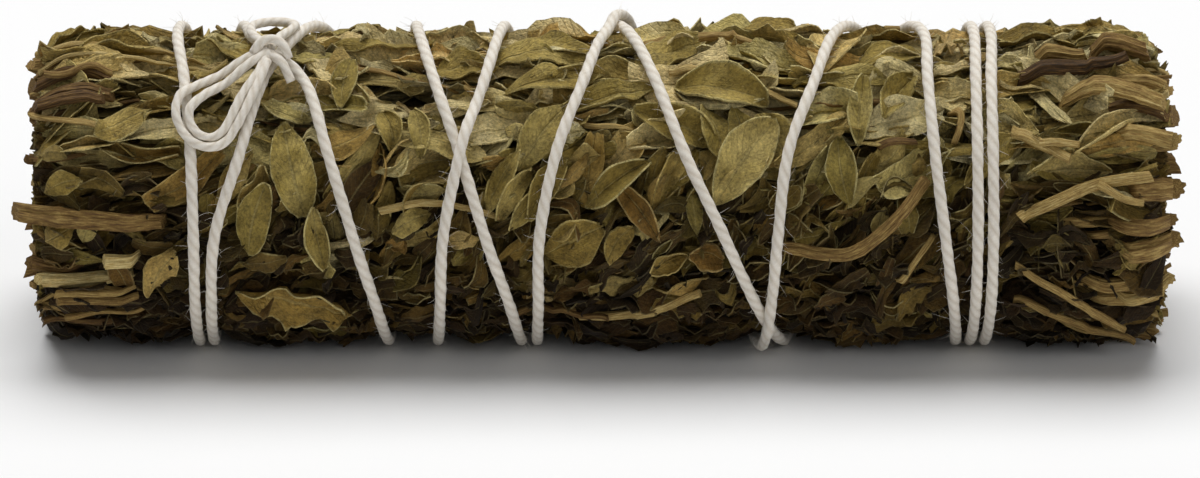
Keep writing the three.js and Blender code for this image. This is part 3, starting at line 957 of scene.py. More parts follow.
def leaf_copy(
    blank: LeafBlank,
    laid: Array,
    tone: float,
    grain: Row,
    thickness: float = LEAF_THICKNESS,
) -> Copy:
    """Gives a laid leaf its underside.

    Args:
        blank: The leaf's blank.
        laid: Its top face as a grid of x, arc length and radius.
        tone: How pale the leaf is, 0 to 1.
        grain: Its hue, how much painted shade it gets, and a number of its own.
        thickness: Its thickness.

    Returns:
        The copy.
    """
    points = blank.thicken(laid, thickness)
    anchor = columns(points[:, 0], turn_of(points[:, 1]), points[:, 2])
    flat = np.zeros(len(points))
    pattern = columns(blank.first, blank.second, tone)
    return Copy(blank, anchor, flat, pattern, columns(flat + grain[0], *grain[1:]))


# ---- rods: stems and twigs


@dataclass(frozen=True)
class Rod:
    """A stem or twig along a line on or in the bunch.

    Attributes:
        radius: Its radius.
        ribs: Depth of the ribs along it, as a share of the radius.
        nodes: Spacing of the swellings where leaves grew.
        taper: Share of the radius lost towards the far end.
        slants: How far its two cut faces lean, as a share of the radius.
        pith: How deep the pith lies under the bark's rim.
        outward: Whether its cut faces look outwards from the bunch.
    """

    radius: float
    ribs: float = 0.08
    nodes: float = 24.0
    taper: float = 0.1
    slants: tuple[float, float] = (0.3, 0.3)
    pith: float = 0.15
    outward: bool = False

    def follow(
        self,
        blank: RodBlank,
        line: Array,
        tone: float,
        rng: Random,
    ) -> Copy:
        """Runs the rod along a line.

        Args:
            blank: The rod's blank.
            line: Rows of x, turn and radius.
            tone: How pale its bark is, 0 to 1.
            rng: Random numbers for its ribs and nodes.

        Returns:
            The copy.
        """
        arc = arc_of(line[:, 1])
        lengths = running_total(np.hypot(np.diff(line[:, 0]), np.diff(arc)) + 1e-6)
        whole = lengths[-1]
        at = blank.first * whole
        x = np.interp(at, lengths, line[:, 0])
        places = np.interp(at, lengths, arc)
        height = np.interp(at, lengths, line[:, 2])
        ahead = np.clip(at + 0.02 * whole, 0.0, whole)
        behind = np.clip(at - 0.02 * whole, 0.0, whole)
        run_x = np.interp(ahead, lengths, line[:, 0]) - np.interp(behind, lengths, line[:, 0])
        run_arc = np.interp(ahead, lengths, arc) - np.interp(behind, lengths, arc)
        run = np.maximum(np.hypot(run_x, run_arc), 1e-9)
        run_x, run_arc = run_x / run, run_arc / run
        angle = blank.second
        phase = rng.uniform(0.0, 6.28)
        rib_count = int(rng.integers(4, 6)) if self.radius < 0.8 else int(rng.integers(7, 9))
        profile = 1.0 + self.ribs * np.cos(rib_count * angle + 0.05 * at + phase)
        profile += 0.5 * self.ribs * np.cos(3 * angle - 0.11 * at)
        node = np.cos(np.pi * ((at + phase * 3.0) / self.nodes)) ** 2
        profile *= 1.0 + 0.10 * np.exp(-((1.0 - node) / 0.02))
        profile *= 1.0 - self.taper * blank.first
        reach = self.radius * profile * blank.third
        end_sign = np.where(blank.first > 0.999, 1.0, np.where(blank.first < 0.001, -1.0, 0.0))
        lean = np.where(end_sign > 0, self.slants[1], self.slants[0])
        chips = 0.035 * self.radius * np.sin(5.0 * angle + phase * 2.0)
        sunk = self.pith * (blank.third < 0.95) + 0.0
        if self.outward:
            shift = -end_sign * lean * reach * np.sin(angle)
        else:
            shift = np.abs(end_sign) * lean * reach * np.sin(angle + phase)
        shift += end_sign * (chips * (blank.third > 0.95) - sunk)
        side = reach * np.cos(angle)
        x = x - run_arc * side + run_x * shift
        places = places + run_x * side + run_arc * shift
        anchor = columns(x, turn_of(places), height)
        cap = ((blank.third < 0.95) & (end_sign != 0)).astype(float)
        pattern = columns(at, np.cos(angle), np.sin(angle))
        grain = columns(tone, cap, rng.uniform())
        return Copy(blank, anchor, reach * np.sin(angle), pattern, grain)


# ---- finishes


class NodeBoard:
    """Short ways to place and join nodes in one tree."""

    def __init__(self, tree: Tree) -> None:
        """Takes the tree to work in."""
        self.tree = tree

    def add(self, kind: str, **settings: object) -> bpy.types.Node:
        """Places a node and sets its plain settings."""
        node = self.tree.nodes.new(kind)
        for name, value in settings.items():
            setattr(node, name, value)
        return node

    def feed(self, socket: Socket, value: object) -> None:
        """Joins an output to a socket, or sets the socket to a value."""
        if isinstance(value, Socket):
            self.tree.links.new(value, socket)
        elif value is not None:
            socket.default_value = value

    def math(self, operation: str, first: object, second: object = None) -> Socket:
        """Places a Math node and returns its output."""
        node = self.add("ShaderNodeMath", operation=operation)
        self.feed(node.inputs[0], first)
        self.feed(node.inputs[1], second)
        return node.outputs[0]

    def plus(self, first: object, second: object) -> Socket:
        """Adds two values and returns the output."""
        return self.math("ADD", first, second)

    def times(self, first: object, second: object) -> Socket:
        """Multiplies two values and returns the output."""
        return self.math("MULTIPLY", first, second)

    def swing(self, noise: object, amount: object) -> Socket:
        """Makes a noise swing round 0 by an amount and returns the output."""
        return self.times(self.math("SUBTRACT", noise, 0.5), amount)

    def scale(self, colour: object, share: object) -> Socket:
        """Darkens or brightens a colour and returns the output."""
        node = self.add("ShaderNodeVectorMath", operation="SCALE")
        self.feed(node.inputs[0], colour)
        self.feed(node.inputs["Scale"], share)
        return node.outputs[0]

    def note(self, name: str) -> Socket:
        """Reads one of the piece's attributes and returns its vector."""
        return self.add("ShaderNodeAttribute", attribute_name=name).outputs["Vector"]

    def mix(self, share: object, first: object, second: object) -> Socket:
        """Mixes two colours and returns the output."""
        node = self.add("ShaderNodeMix", data_type="RGBA")
        self.feed(node.inputs[0], share)
        self.feed(node.inputs[6], first)
        self.feed(node.inputs[7], second)
        return node.outputs[2]

    def span(
        self, value: object, low: float, high: float, out_low: float = 0.0, out_high: float = 1.0
    ) -> Socket:
        """Maps a value smoothly from one span to another and returns the output."""
        node = self.add("ShaderNodeMapRange", interpolation_type="SMOOTHSTEP")
        for socket, item in zip(node.inputs, (value, low, high, out_low, out_high)):
            self.feed(socket, item)
        return node.outputs[0]

    def ramp(self, value: object, stops: Sequence[tuple]) -> Socket:
        """Colours a value with stops of place, red, green and blue, and returns the colour."""
        node = self.add("ShaderNodeValToRGB")
        elements = node.color_ramp.elements
        while len(elements) < len(stops):
            elements.new(0.5)
        for element, (place, *colour) in zip(elements, stops):
            element.position = place
            element.color = linear(*colour)
        self.feed(node.inputs[0], value)
        return node.outputs[0]

    def noise(self, vector: object, scale: float, detail: float, rough: float) -> Socket:
        """Places a noise texture and returns its value."""
        node = self.add("ShaderNodeTexNoise")
        self.feed(node.inputs["Vector"], vector)
        for name, value in (("Scale", scale), ("Detail", detail), ("Roughness", rough)):
            node.inputs[name].default_value = value
        return node.outputs[0]

    def split(self, vector: object) -> list[Socket]:
        """Splits a vector and returns its three outputs."""
        node = self.add("ShaderNodeSeparateXYZ")
        self.feed(node.inputs[0], vector)
        return list(node.outputs)

    def join(self, x: object, y: object, z: object) -> Socket:
        """Joins three values into a vector and returns it."""
        node = self.add("ShaderNodeCombineXYZ")
        for socket, value in zip(node.inputs, (x, y, z)):
            self.feed(socket, value)
        return node.outputs[0]

    def place(self, group: Tree, **values: object) -> bpy.types.Node:
        """Places a group with its input values."""
        node = self.add("ShaderNodeGroup", node_tree=group)
        for name, value in values.items():
            self.feed(node.inputs[name.replace("_", " ")], value)
        return node


def new_group(name: str, inputs: dict[str, str], outputs: dict[str, str]) -> tuple:
    """Starts a shader node group.

    Args:
        name: Its name.
        inputs: Socket kinds by name.
        outputs: Socket kinds by name.

    Returns:
        The group, its board, its input node and its output node.
    """
    group = bpy.data.node_groups.new(name, "ShaderNodeTree")
    for label, kind in inputs.items():
        group.interface.new_socket(label, in_out="INPUT", socket_type=kind)
    for label, kind in outputs.items():
        group.interface.new_socket(label, in_out="OUTPUT", socket_type=kind)
    board = NodeBoard(group)
    return group, board, board.add("NodeGroupInput"), board.add("NodeGroupOutput")


FLOAT = "NodeSocketFloat"
COLOUR = "NodeSocketColor"
VECTOR = "NodeSocketVector"


def speckle_group() -> Tree:
    """Builds the group of dust, blotches and dried spots that every finish shares."""
    group, board, given, out = new_group(
        "dried_speckle",
        {"Colour": COLOUR, "Place": VECTOR, "Blotch": FLOAT, "Fine": FLOAT},
        {"Colour": COLOUR, "Height": FLOAT},
    )
    place = given.outputs["Place"]
    blotch = board.noise(place, 420.0, 3.0, 0.6)
    fine = board.noise(place, 2600.0, 3.0, 0.7)
    wide = board.swing(blotch, given.outputs["Blotch"])
    small = board.swing(fine, given.outputs["Fine"])
    change = board.plus(board.plus(wide, small), 1.0)
    board.feed(out.inputs["Colour"], board.scale(given.outputs["Colour"], change))
    board.feed(out.inputs["Height"], board.plus(board.times(blotch, 0.6), board.times(fine, 0.4)))
    return group


def new_material(name: str) -> tuple:
    """Starts a material.

    Args:
        name: Its name.

    Returns:
        The material, its board and its Principled node.
    """
    material = bpy.data.materials.new(name)
    material.use_nodes = True
    shader = material.node_tree.nodes["Principled BSDF"]
    return material, NodeBoard(material.node_tree), shader


@dataclass(frozen=True)
class Finish:
    """What every finish of the bunch shares: speckle over its colour, and a bump.

    Attributes:
        roughness: Roughness of the surface.
        specular: Its specular level.
        sheen: Its sheen.
        blotch: Strength of the wide blotches.
        fine: Strength of the fine dust.
        bump: Strength of the bump.
        depth: Height of the bump, in metres.
        speckle_relief: Share of the speckle's own height in the bump.
    """

    roughness: float
    specular: float
    blotch: float
    fine: float
    bump: float
    depth: float
    speckle_relief: float = 0.0
    sheen: float = 0.0

    def make(self, name: str, speckle: Tree) -> Material:
        """Makes the material.

        Args:
            name: Its name.
            speckle: The shared speckle group.

        Returns:
            The material.
        """
        material, board, shader = new_material(name)
        place = board.add("ShaderNodeTexCoord").outputs["Object"]
        colour, relief = self.paint(board, place)
        flecks = board.place(
            speckle, Colour=colour, Place=place, Blotch=self.blotch, Fine=self.fine
        )
        board.feed(shader.inputs["Base Color"], flecks.outputs["Colour"])
        if self.speckle_relief:
            relief = board.plus(relief, board.times(flecks.outputs["Height"], self.speckle_relief))
        bump = board.add("ShaderNodeBump")
        bump.inputs["Strength"].default_value = self.bump
        bump.inputs["Distance"].default_value = self.depth
        board.feed(bump.inputs["Height"], relief)
        board.feed(shader.inputs["Normal"], bump.outputs[0])
        shader.inputs["Roughness"].default_value = self.roughness
        shader.inputs["Specular IOR Level"].default_value = self.specular
        shader.inputs["Sheen Weight"].default_value = self.sheen
        return material

    def paint(self, board: NodeBoard, place: object) -> tuple:
        """Works out the colour and the relief, which each finish does in its own way.

        Args:
            board: The material's board.
            place: The place on the bunch.

        Returns:
            The outputs for the colour and the relief.
        """
        raise NotImplementedError


@dataclass(frozen=True)
class SageLeafFinish(Finish):
    """Dried sage leaf: olive to brown, with a pale rim, a midrib and fine mottling."""

    def paint(self, board: NodeBoard, place: object) -> tuple:
        """Returns the leaf's colour and relief."""
        share, side, tone = board.split(board.note("pattern"))
        hue, painted_shade, own = board.split(board.note("grain"))
        cloud = board.noise(place, 260.0, 2.0, 0.5)
        tone = board.plus(tone, board.swing(cloud, 0.35))
        green = board.ramp(tone, (
            (0.0, 42, 30, 10), (0.22, 78, 60, 20), (0.42, 112, 94, 32),
            (0.62, 156, 138, 68), (0.82, 196, 179, 112), (1.0, 226, 212, 160),
        ))
        brown = board.ramp(tone, (
            (0.0, 42, 28, 12), (0.22, 80, 55, 22), (0.42, 118, 86, 34),
            (0.62, 160, 122, 54), (0.82, 194, 158, 86), (1.0, 218, 190, 128),
        ))
        colour = board.mix(hue, green, brown)
        edge = board.math("ABSOLUTE", side)
        wander = board.swing(board.noise(place, 900.0, 2.0, 0.6), 0.10)
        rim = board.span(board.plus(edge, wander), 0.91, 0.985)
        tip = board.span(board.math("ABSOLUTE", board.math("SUBTRACT", share, 0.5)), 0.475, 0.498)
        rim = board.math("MAXIMUM", rim, tip)
        rim = board.times(rim, board.span(own, 0.35, 0.95, 0.1, 0.6))
        rim = board.times(rim, board.span(tone, 0.1, 0.55, 0.25, 1.0))
        colour = board.mix(rim, colour, linear(196, 184, 128))
        midrib = board.span(edge, 0.03, 0.10, 1.0, 0.0)
        colour = board.mix(board.times(midrib, 0.35), colour, linear(176, 160, 104))
        slope = board.math("SUBTRACT", board.times(share, 11.0), board.times(edge, 3.2))
        vein = board.math("PINGPONG", board.plus(slope, board.times(cloud, 0.7)), 0.5)
        vein = board.span(vein, 0.0, 0.10, 1.0, 0.0)
        colour = board.mix(board.times(vein, 0.14), colour, linear(170, 158, 104))
        # Painted shade: the grain's second value darkens the leaf colour by up to two thirds.
        shade = board.math("SUBTRACT", 1.0, board.times(painted_shade, 0.66))
        grid = board.join(board.times(share, 1.6), board.times(side, 3.0), board.times(own, 60.0))
        crease = board.times(board.noise(grid, 2.2, 4.0, 0.65), 0.9)
        relief = board.plus(board.times(vein, -0.25), crease)
        relief = board.plus(relief, board.times(midrib, -0.5))
        return board.scale(colour, shade), relief


@dataclass(frozen=True)
class StemFinish(Finish):
    """Dry stem: streaked bark, and pale fibrous pith where it is cut."""

    def paint(self, board: NodeBoard, place: object) -> tuple:
        """Returns the stem's colour and relief."""
        along, turn_x, turn_y = board.split(board.note("pattern"))
        tone, cut, own = board.split(board.note("grain"))
        shifted = board.plus(board.times(along, 0.10), board.times(own, 40.0))
        streak = board.noise(board.join(shifted, turn_x, turn_y), 5.5, 4.0, 0.7)
        bark = board.ramp(board.plus(tone, board.swing(streak, 1.5)), (
            (0.0, 50, 36, 20), (0.25, 92, 66, 34), (0.5, 132, 104, 56),
            (0.75, 174, 148, 88), (1.0, 212, 194, 138),
        ))
        fibres = board.noise(place, 2400.0, 3.0, 0.7)
        pith = board.ramp(fibres, (
            (0.25, 200, 174, 124), (0.5, 240, 226, 184), (0.75, 252, 244, 214),
        ))
        return board.mix(board.span(cut, 0.15, 0.6), bark, pith), streak


@dataclass(frozen=True)
class CottonFinish(Finish):
    """Unbleached cotton string: soft, cream white, with greyer fibres along its lay and painted shade
    in the grooves between its plies.
    """

    def paint(self, board: NodeBoard, place: object) -> tuple:
        """Returns the string's colour and relief."""
        rise, _, _ = board.split(board.note("grain"))
        fibre_place = board.add("ShaderNodeMapping")
        fibre_place.inputs["Scale"].default_value = (0.25, 1.0, 1.0)
        board.feed(fibre_place.inputs["Vector"], board.note("pattern"))
        fibres = board.noise(fibre_place.outputs[0], 9.0, 3.0, 0.65)
        # Painted shade: the colour darkens from the ply crests into the grooves between plies.
        colour = board.mix(rise, linear(222, 211, 194), linear(248, 242, 231))
        worn = board.span(fibres, 0.3, 0.7, 0.22, 0.0)
        return board.mix(worn, colour, linear(196, 182, 156)), fibres


class Slot(Enum):
    """Material slot names; build picks one for each piece but nothing here uses it."""

    LEAF_OLIVE = "leaf_olive"
    LEAF_PALE = "leaf_pale"
    LEAF_BROWN = "leaf_brown"
    STEM = "stem"
    STRING = "cotton_string"


@dataclass
class Finishes:
    """Every finish of the bunch, made once."""

    leaf: Material
    stem: Material
    cotton: Material

    @classmethod
    def make(cls) -> "Finishes":
        """Makes the three finishes round one shared speckle group."""
        speckle = speckle_group()
        leaf = SageLeafFinish(0.72, 0.3, 1.5, 2.1, 0.7, 0.0012, speckle_relief=1.0)
        stem = StemFinish(0.75, 0.25, 0.5, 0.7, 0.6, 0.00025, speckle_relief=0.4)
        cotton = CottonFinish(0.9, 0.15, 0.22, 0.3, 0.5, 0.00012, sheen=0.25)
        return cls(
            leaf=leaf.make("sage_leaf", speckle),
            stem=stem.make("sage_stem", speckle),
            cotton=cotton.make("cotton", speckle),
        )


def hand_over(
    piece: Shape,
    material: Material,
    nodes: Sequence[str],
) -> None:
    """Dresses a piece and says what it stands for.

    Args:
        piece: The piece.
        material: Its finish.
        nodes: The frame's nodes that it stands for.
    """
    piece.data.materials.append(material)
    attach(piece, ROOT)
    if nodes:
        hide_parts(*nodes)
    LOG.info("%s: %d faces", piece.name, len(piece.data.polygons))


# ---- laying the bunch


@dataclass(frozen=True)
class PlacedLeaf:
    """One leaf with a place of its own on the bunch.

    Attributes:
        x: Where its middle lies along the bunch.
        turn: Where it lies round it.
        length: Its length.
        width: Its width.
        heading: Which way it points.
        tone: How pale it is.
        hue: 0 is green, 1 is brown.
        cup: How far its edges rise, in degrees.
        sway: How far its midrib curves.
        blunt: How blunt its ends are.
        crush: How crumpled it is.
    """

    x: float
    turn: float
    length: float
    width: float
    heading: float
    tone: float = 0.6
    hue: float = 0.2
    cup: float = 12.0
    sway: float = 0.4
    blunt: float = 0.7
    crush: float = 1.0


# Leaves that lie on their own over the rest, one node each in the frame: slot, then the leaf.
LOOSE_LEAVES = {
    "large_oval_leaf": (Slot.LEAF_PALE, -37.6, 24, 11.5, 5.4, 104, 0.66, 0.15, 8, 0.2, 0.6),
    "grey_oval_leaf": (Slot.LEAF_OLIVE, -42.3, 6, 9.0, 4.4, 75, 0.56, 0.12, -8, 0.5),
    "small_folded_leaf": (Slot.LEAF_PALE, -34.6, -2, 8.0, 3.4, 100, 0.66, 0.2, 26, 0.3),
    "hanging_leaf": (Slot.LEAF_OLIVE, -31.4, 60, 7.4, 3.4, 80, 0.6, 0.1, 14, 0.3),
    "jagged_leaf": (Slot.LEAF_BROWN, -37.6, -33, 15.0, 7.4, -14, 0.62, 0.6, 20, 1.2, 0.7, 3.6),
    "pointed_leaf": (Slot.LEAF_PALE, 15.0, 58, 12.0, 5.0, -12, 0.66, 0.2, 14, 0.5),
    "large_pale_leaf": (Slot.LEAF_PALE, 17.6, 28, 13.0, 6.0, 55, 0.74, 0.2, 16, 0.5),
    "narrow_hanging_leaf": (Slot.LEAF_PALE, 31.9, 48, 9.4, 3.2, 85, 0.68, 0.1, 20, 0.3),
    "green_leaf": (Slot.LEAF_OLIVE, 29.6, 24, 8.5, 4.0, 100, 0.52, 0.0, 16, 0.4),
    "curled_leaf_middle": (Slot.LEAF_OLIVE, 2.0, 20, 10.0, 4.2, 35, 0.58, 0.2, 34, 0.6),
    "leaf_piece_left": (Slot.LEAF_PALE, -58.8, 42, 7.0, 4.6, 25, 0.66, 0.3, 12, 0.3),
}

TORN_LEAVES = ("jagged_leaf", "leaf_piece_left")

# The larger leaves that show on top of the rest without being loose from it.
TOP_LEAVES = (
    (8.0, 80, 9.0, 5.2, 20, 0.64, 0.2), (29.3, 86, 12.0, 7.0, 62, 0.86, 0.55, 24, 0.6),
    (9.3, 43, 11.0, 5.0, -20, 0.6, 0.2, 20), (14.2, 40, 7.5, 4.2, -70, 0.62, 0.15, 24),
    (17.2, 40, 6.5, 3.4, -80, 0.56, 0.1, 20), (21.4, 38, 7.0, 4.0, -60, 0.66, 0.2, 10),
    (4.6, 10, 9.0, 3.2, -50, 0.44, 0.9, 34), (2.3, -3, 5.0, 3.0, 50, 0.6, 0.4, 14),
    (8.5, -12, 5.0, 4.0, 20, 0.62, 0.5, 40, 0.2), (13.2, -10, 4.5, 3.0, -20, 0.5, 1.0, 20),
    (9.8, -25, 7.0, 3.0, 10, 0.7, 0.8, 30), (-7.2, 38, 10.0, 4.2, 55, 0.68, 0.15, 12, 0.3, 0.6),
    (-12.2, 20, 8.5, 2.8, 62, 0.66, 0.2, 20), (-10.6, 15, 8.0, 2.6, 55, 0.7, 0.25, 22),
    (-8.6, 11, 8.0, 2.6, 48, 0.66, 0.2, 22), (-6.6, 18, 9.0, 3.4, 58, 0.6, 0.2, 16),
    (-3.4, -3, 8.5, 5.5, 30, 0.54, 0.35, 14), (-23.3, 5, 5.0, 2.8, 20, 0.66, 0.2, 12),
    (-17.0, -3, 4.5, 2.2, 10, 0.8, 0.7, 16), (-25.8, 41, 5.5, 3.4, -75, 0.62, 0.2, 14),
    (-22.2, 40, 6.5, 2.8, -80, 0.66, 0.15, 16), (-3.4, 98, 9.0, 5.5, 5, 0.78, 0.95, 16),
    (-7.5, 78, 14.0, 5.2, 8, 0.66, 0.2, 26), (-17.0, 71, 9.0, 4.4, 10, 0.64, 0.25, 20),
    (-6.0, 62, 13.0, 4.4, 14, 0.62, 0.2, 20), (1.0, 55, 12.0, 4.0, 16, 0.6, 0.15, 24),
    (20.6, 104, 8.0, 4.4, 10, 0.6, 0.3, 20), (-66.0, 19, 5.0, 3.0, 20, 0.62, 0.3, 10),
    (-66.6, -2, 4.4, 3.0, 35, 0.6, 0.4, 14), (-62.7, 1, 4.4, 2.6, 60, 0.74, 0.1, 8),
    (-59.0, -19, 5.8, 3.4, -70, 0.4, 0.9, 20), (-54.0, -16, 6.4, 4.2, 60, 0.76, 0.7, 14),
    (-66.8, 100, 6.0, 4.2, 20, 0.6, 0.3, 30), (-27.0, 88, 13.0, 5.0, 6, 0.6, 0.2, 22),
    (-59.0, 84, 12.0, 4.6, 4, 0.58, 0.35, 26), (53.0, 92, 12.0, 4.4, 4, 0.5, 0.3, 26),
    (-45.6, 82, 8.0, 5.0, -30, 0.62, 0.2, 18), (36.0, 78, 10.0, 5.0, 12, 0.6, 0.2, 22),
    (36.6, 56, 8.0, 3.6, 60, 0.6, 0.15, 18),
)


@dataclass(frozen=True)
class PlacedTwig:
    """One stem or twig with a route of its own.

    Attributes:
        radius: Its radius.
        route: Rows of x and turn.
        tone: How pale its bark is.
        sunk: How far it is pressed into the leaves.
        slant: How far its cut faces lean.
    """

    radius: float
    route: tuple[tuple[float, float], ...]
    tone: float = 0.55
    sunk: float = 0.0
    slant: float = 0.35


# Twigs that lie on their own over the rest, one node each in the frame.
LOOSE_TWIGS = {
    "curly_twig_left": [(0.42, ((-68.5, 66), (-65.8, 64), (-63, 66.5), (-60, 64.5)), 0.5)],
    "hooked_stem": [(0.5, ((42.9, 50), (44.2, 46.5), (44, 40), (43.4, 35)), 0.6)],
    "reddish_twig": [(0.42, ((34, 33), (36.5, 34.5), (38.8, 35.5)), 0.3)],
    "long_twig_lower_right": [(0.55, ((51, -14), (56, -22), (61, -34), (65, -46)), 0.6)],
    "long_twig_bottom_right": [(0.5, ((51, -30), (56, -37), (61, -46), (66.5, -58)), 0.55)],
    "thick_stem_end_top": [(1.2, ((67.8, 83), (64.5, 82.5), (60.5, 82)), 0.42)],
    "forked_twig": [
        (0.7, ((50.6, 40), (54, 34), (57.5, 28)), 0.7),
        (0.5, ((53.9, 34.2), (56.5, 34), (58.6, 33)), 0.7),
    ],
    "long_forked_twig": [
        (0.75, ((51.5, 6), (56, 13), (61, 19), (67.5, 22)), 0.68),
        (0.5, ((61, 19), (64, 14), (66.5, 12)), 0.68),
    ],
}

# Stems and stalks that show on top of the leaves: they belong to the sprigs.
TOP_TWIGS = (
    (0.5, ((8.4, 67.5), (12.3, 66.5), (19.6, 58), (24.2, 51)), 0.72),
    (0.45, ((-27, 9), (-22, 12), (-16, 9.5), (-12.3, 6)), 0.74),
    (0.8, ((22.4, -8), (30.6, -6.7), (34.3, 1), (37.4, 10.3), (39.9, 21)), 0.5),
    (0.6, ((4, 92), (12, 95), (19, 90)), 0.6),
    (0.5, ((-2.5, -42), (5, -36), (12.3, -27)), 0.7),
    (0.9, ((51.5, 66), (58, 68.5), (65, 72)), 0.12),
    (0.9, ((53.5, 78), (57, 79), (60, 80.5)), 0.55),
    (1.1, ((56.8, 57), (63, 56), (69.3, 52)), 0.62, 0.2),
    (0.8, ((-69.8, 68), (-66, 67), (-60, 66)), 0.25, 0.5),
    (0.9, ((-70, 59), (-66, 58), (-60, 57)), 0.3, 0.4),
    (0.8, ((-69.4, 53), (-66, 53), (-61, 53)), 0.22, 0.4),
    (0.55, ((-70, 50), (-66, 45), (-61, 41)), 0.62),
    (0.3, ((-69.5, 79), (-62, 74.5), (-54, 73), (-46, 71)), 0.8),
    (0.35, ((-70, 88), (-64, 86), (-56, 80), (-48, 76)), 0.72),
    (0.45, ((36.4, -22), (38, -14), (41, -2)), 0.66),
    (0.4, ((-67, -24), (-62, -24.5), (-57, -23)), 0.6),
    (0.45, ((-67, -31), (-62, -31), (-57, -30)), 0.5),
    (0.4, ((-66, -39), (-60, -37.5), (-55, -36)), 0.55),
    (0.5, ((-69, -46), (-65, -46), (-60, -45)), 0.25),
    (0.4, ((-10, -39), (-5, -40), (1, -38.5)), 0.35),
    (1.2, ((-72.0, 6.5), (-66, 6), (-60, 5), (-53.5, 3.5)), 0.44),
    (0.8, ((-60.8, -10), (-58.6, -10.5), (-56.6, -11)), 0.85),
    (1.5, ((70.6, 17), (67.5, 17), (64, 17)), 0.5, 1.3, 0.9),
    (1.3, ((70.5, -7), (67.5, -7), (63, -8)), 0.52, 1.1, 0.9),
    (1.0, ((70.4, 37), (67, 39), (63, 40)), 0.66, 0.8, 0.9),
    (0.9, ((70.3, 3), (67, 3), (62, 4)), 0.45, 0.7, 0.8),
    (0.8, ((70.4, -28), (67, -28), (63, -30)), 0.7, 0.6, 0.8),
    (0.8, ((70.2, 66), (67, 66), (63, 65)), 0.6, 0.6, 0.8),
)


class Layer(Enum):
    """Layers of leaves from the inside out."""

    FILLER = "filler"
    BODY = "body"
    TOP = "top"
    CRUMBS = "crumbs"


# Painted shade of each layer's leaves: the deeper the layer lies, the darker its colour is painted.
LAYER_PAINTED_SHADE = {Layer.FILLER: 0.95, Layer.BODY: 0.55, Layer.CRUMBS: 0.3, Layer.TOP: 0.06}


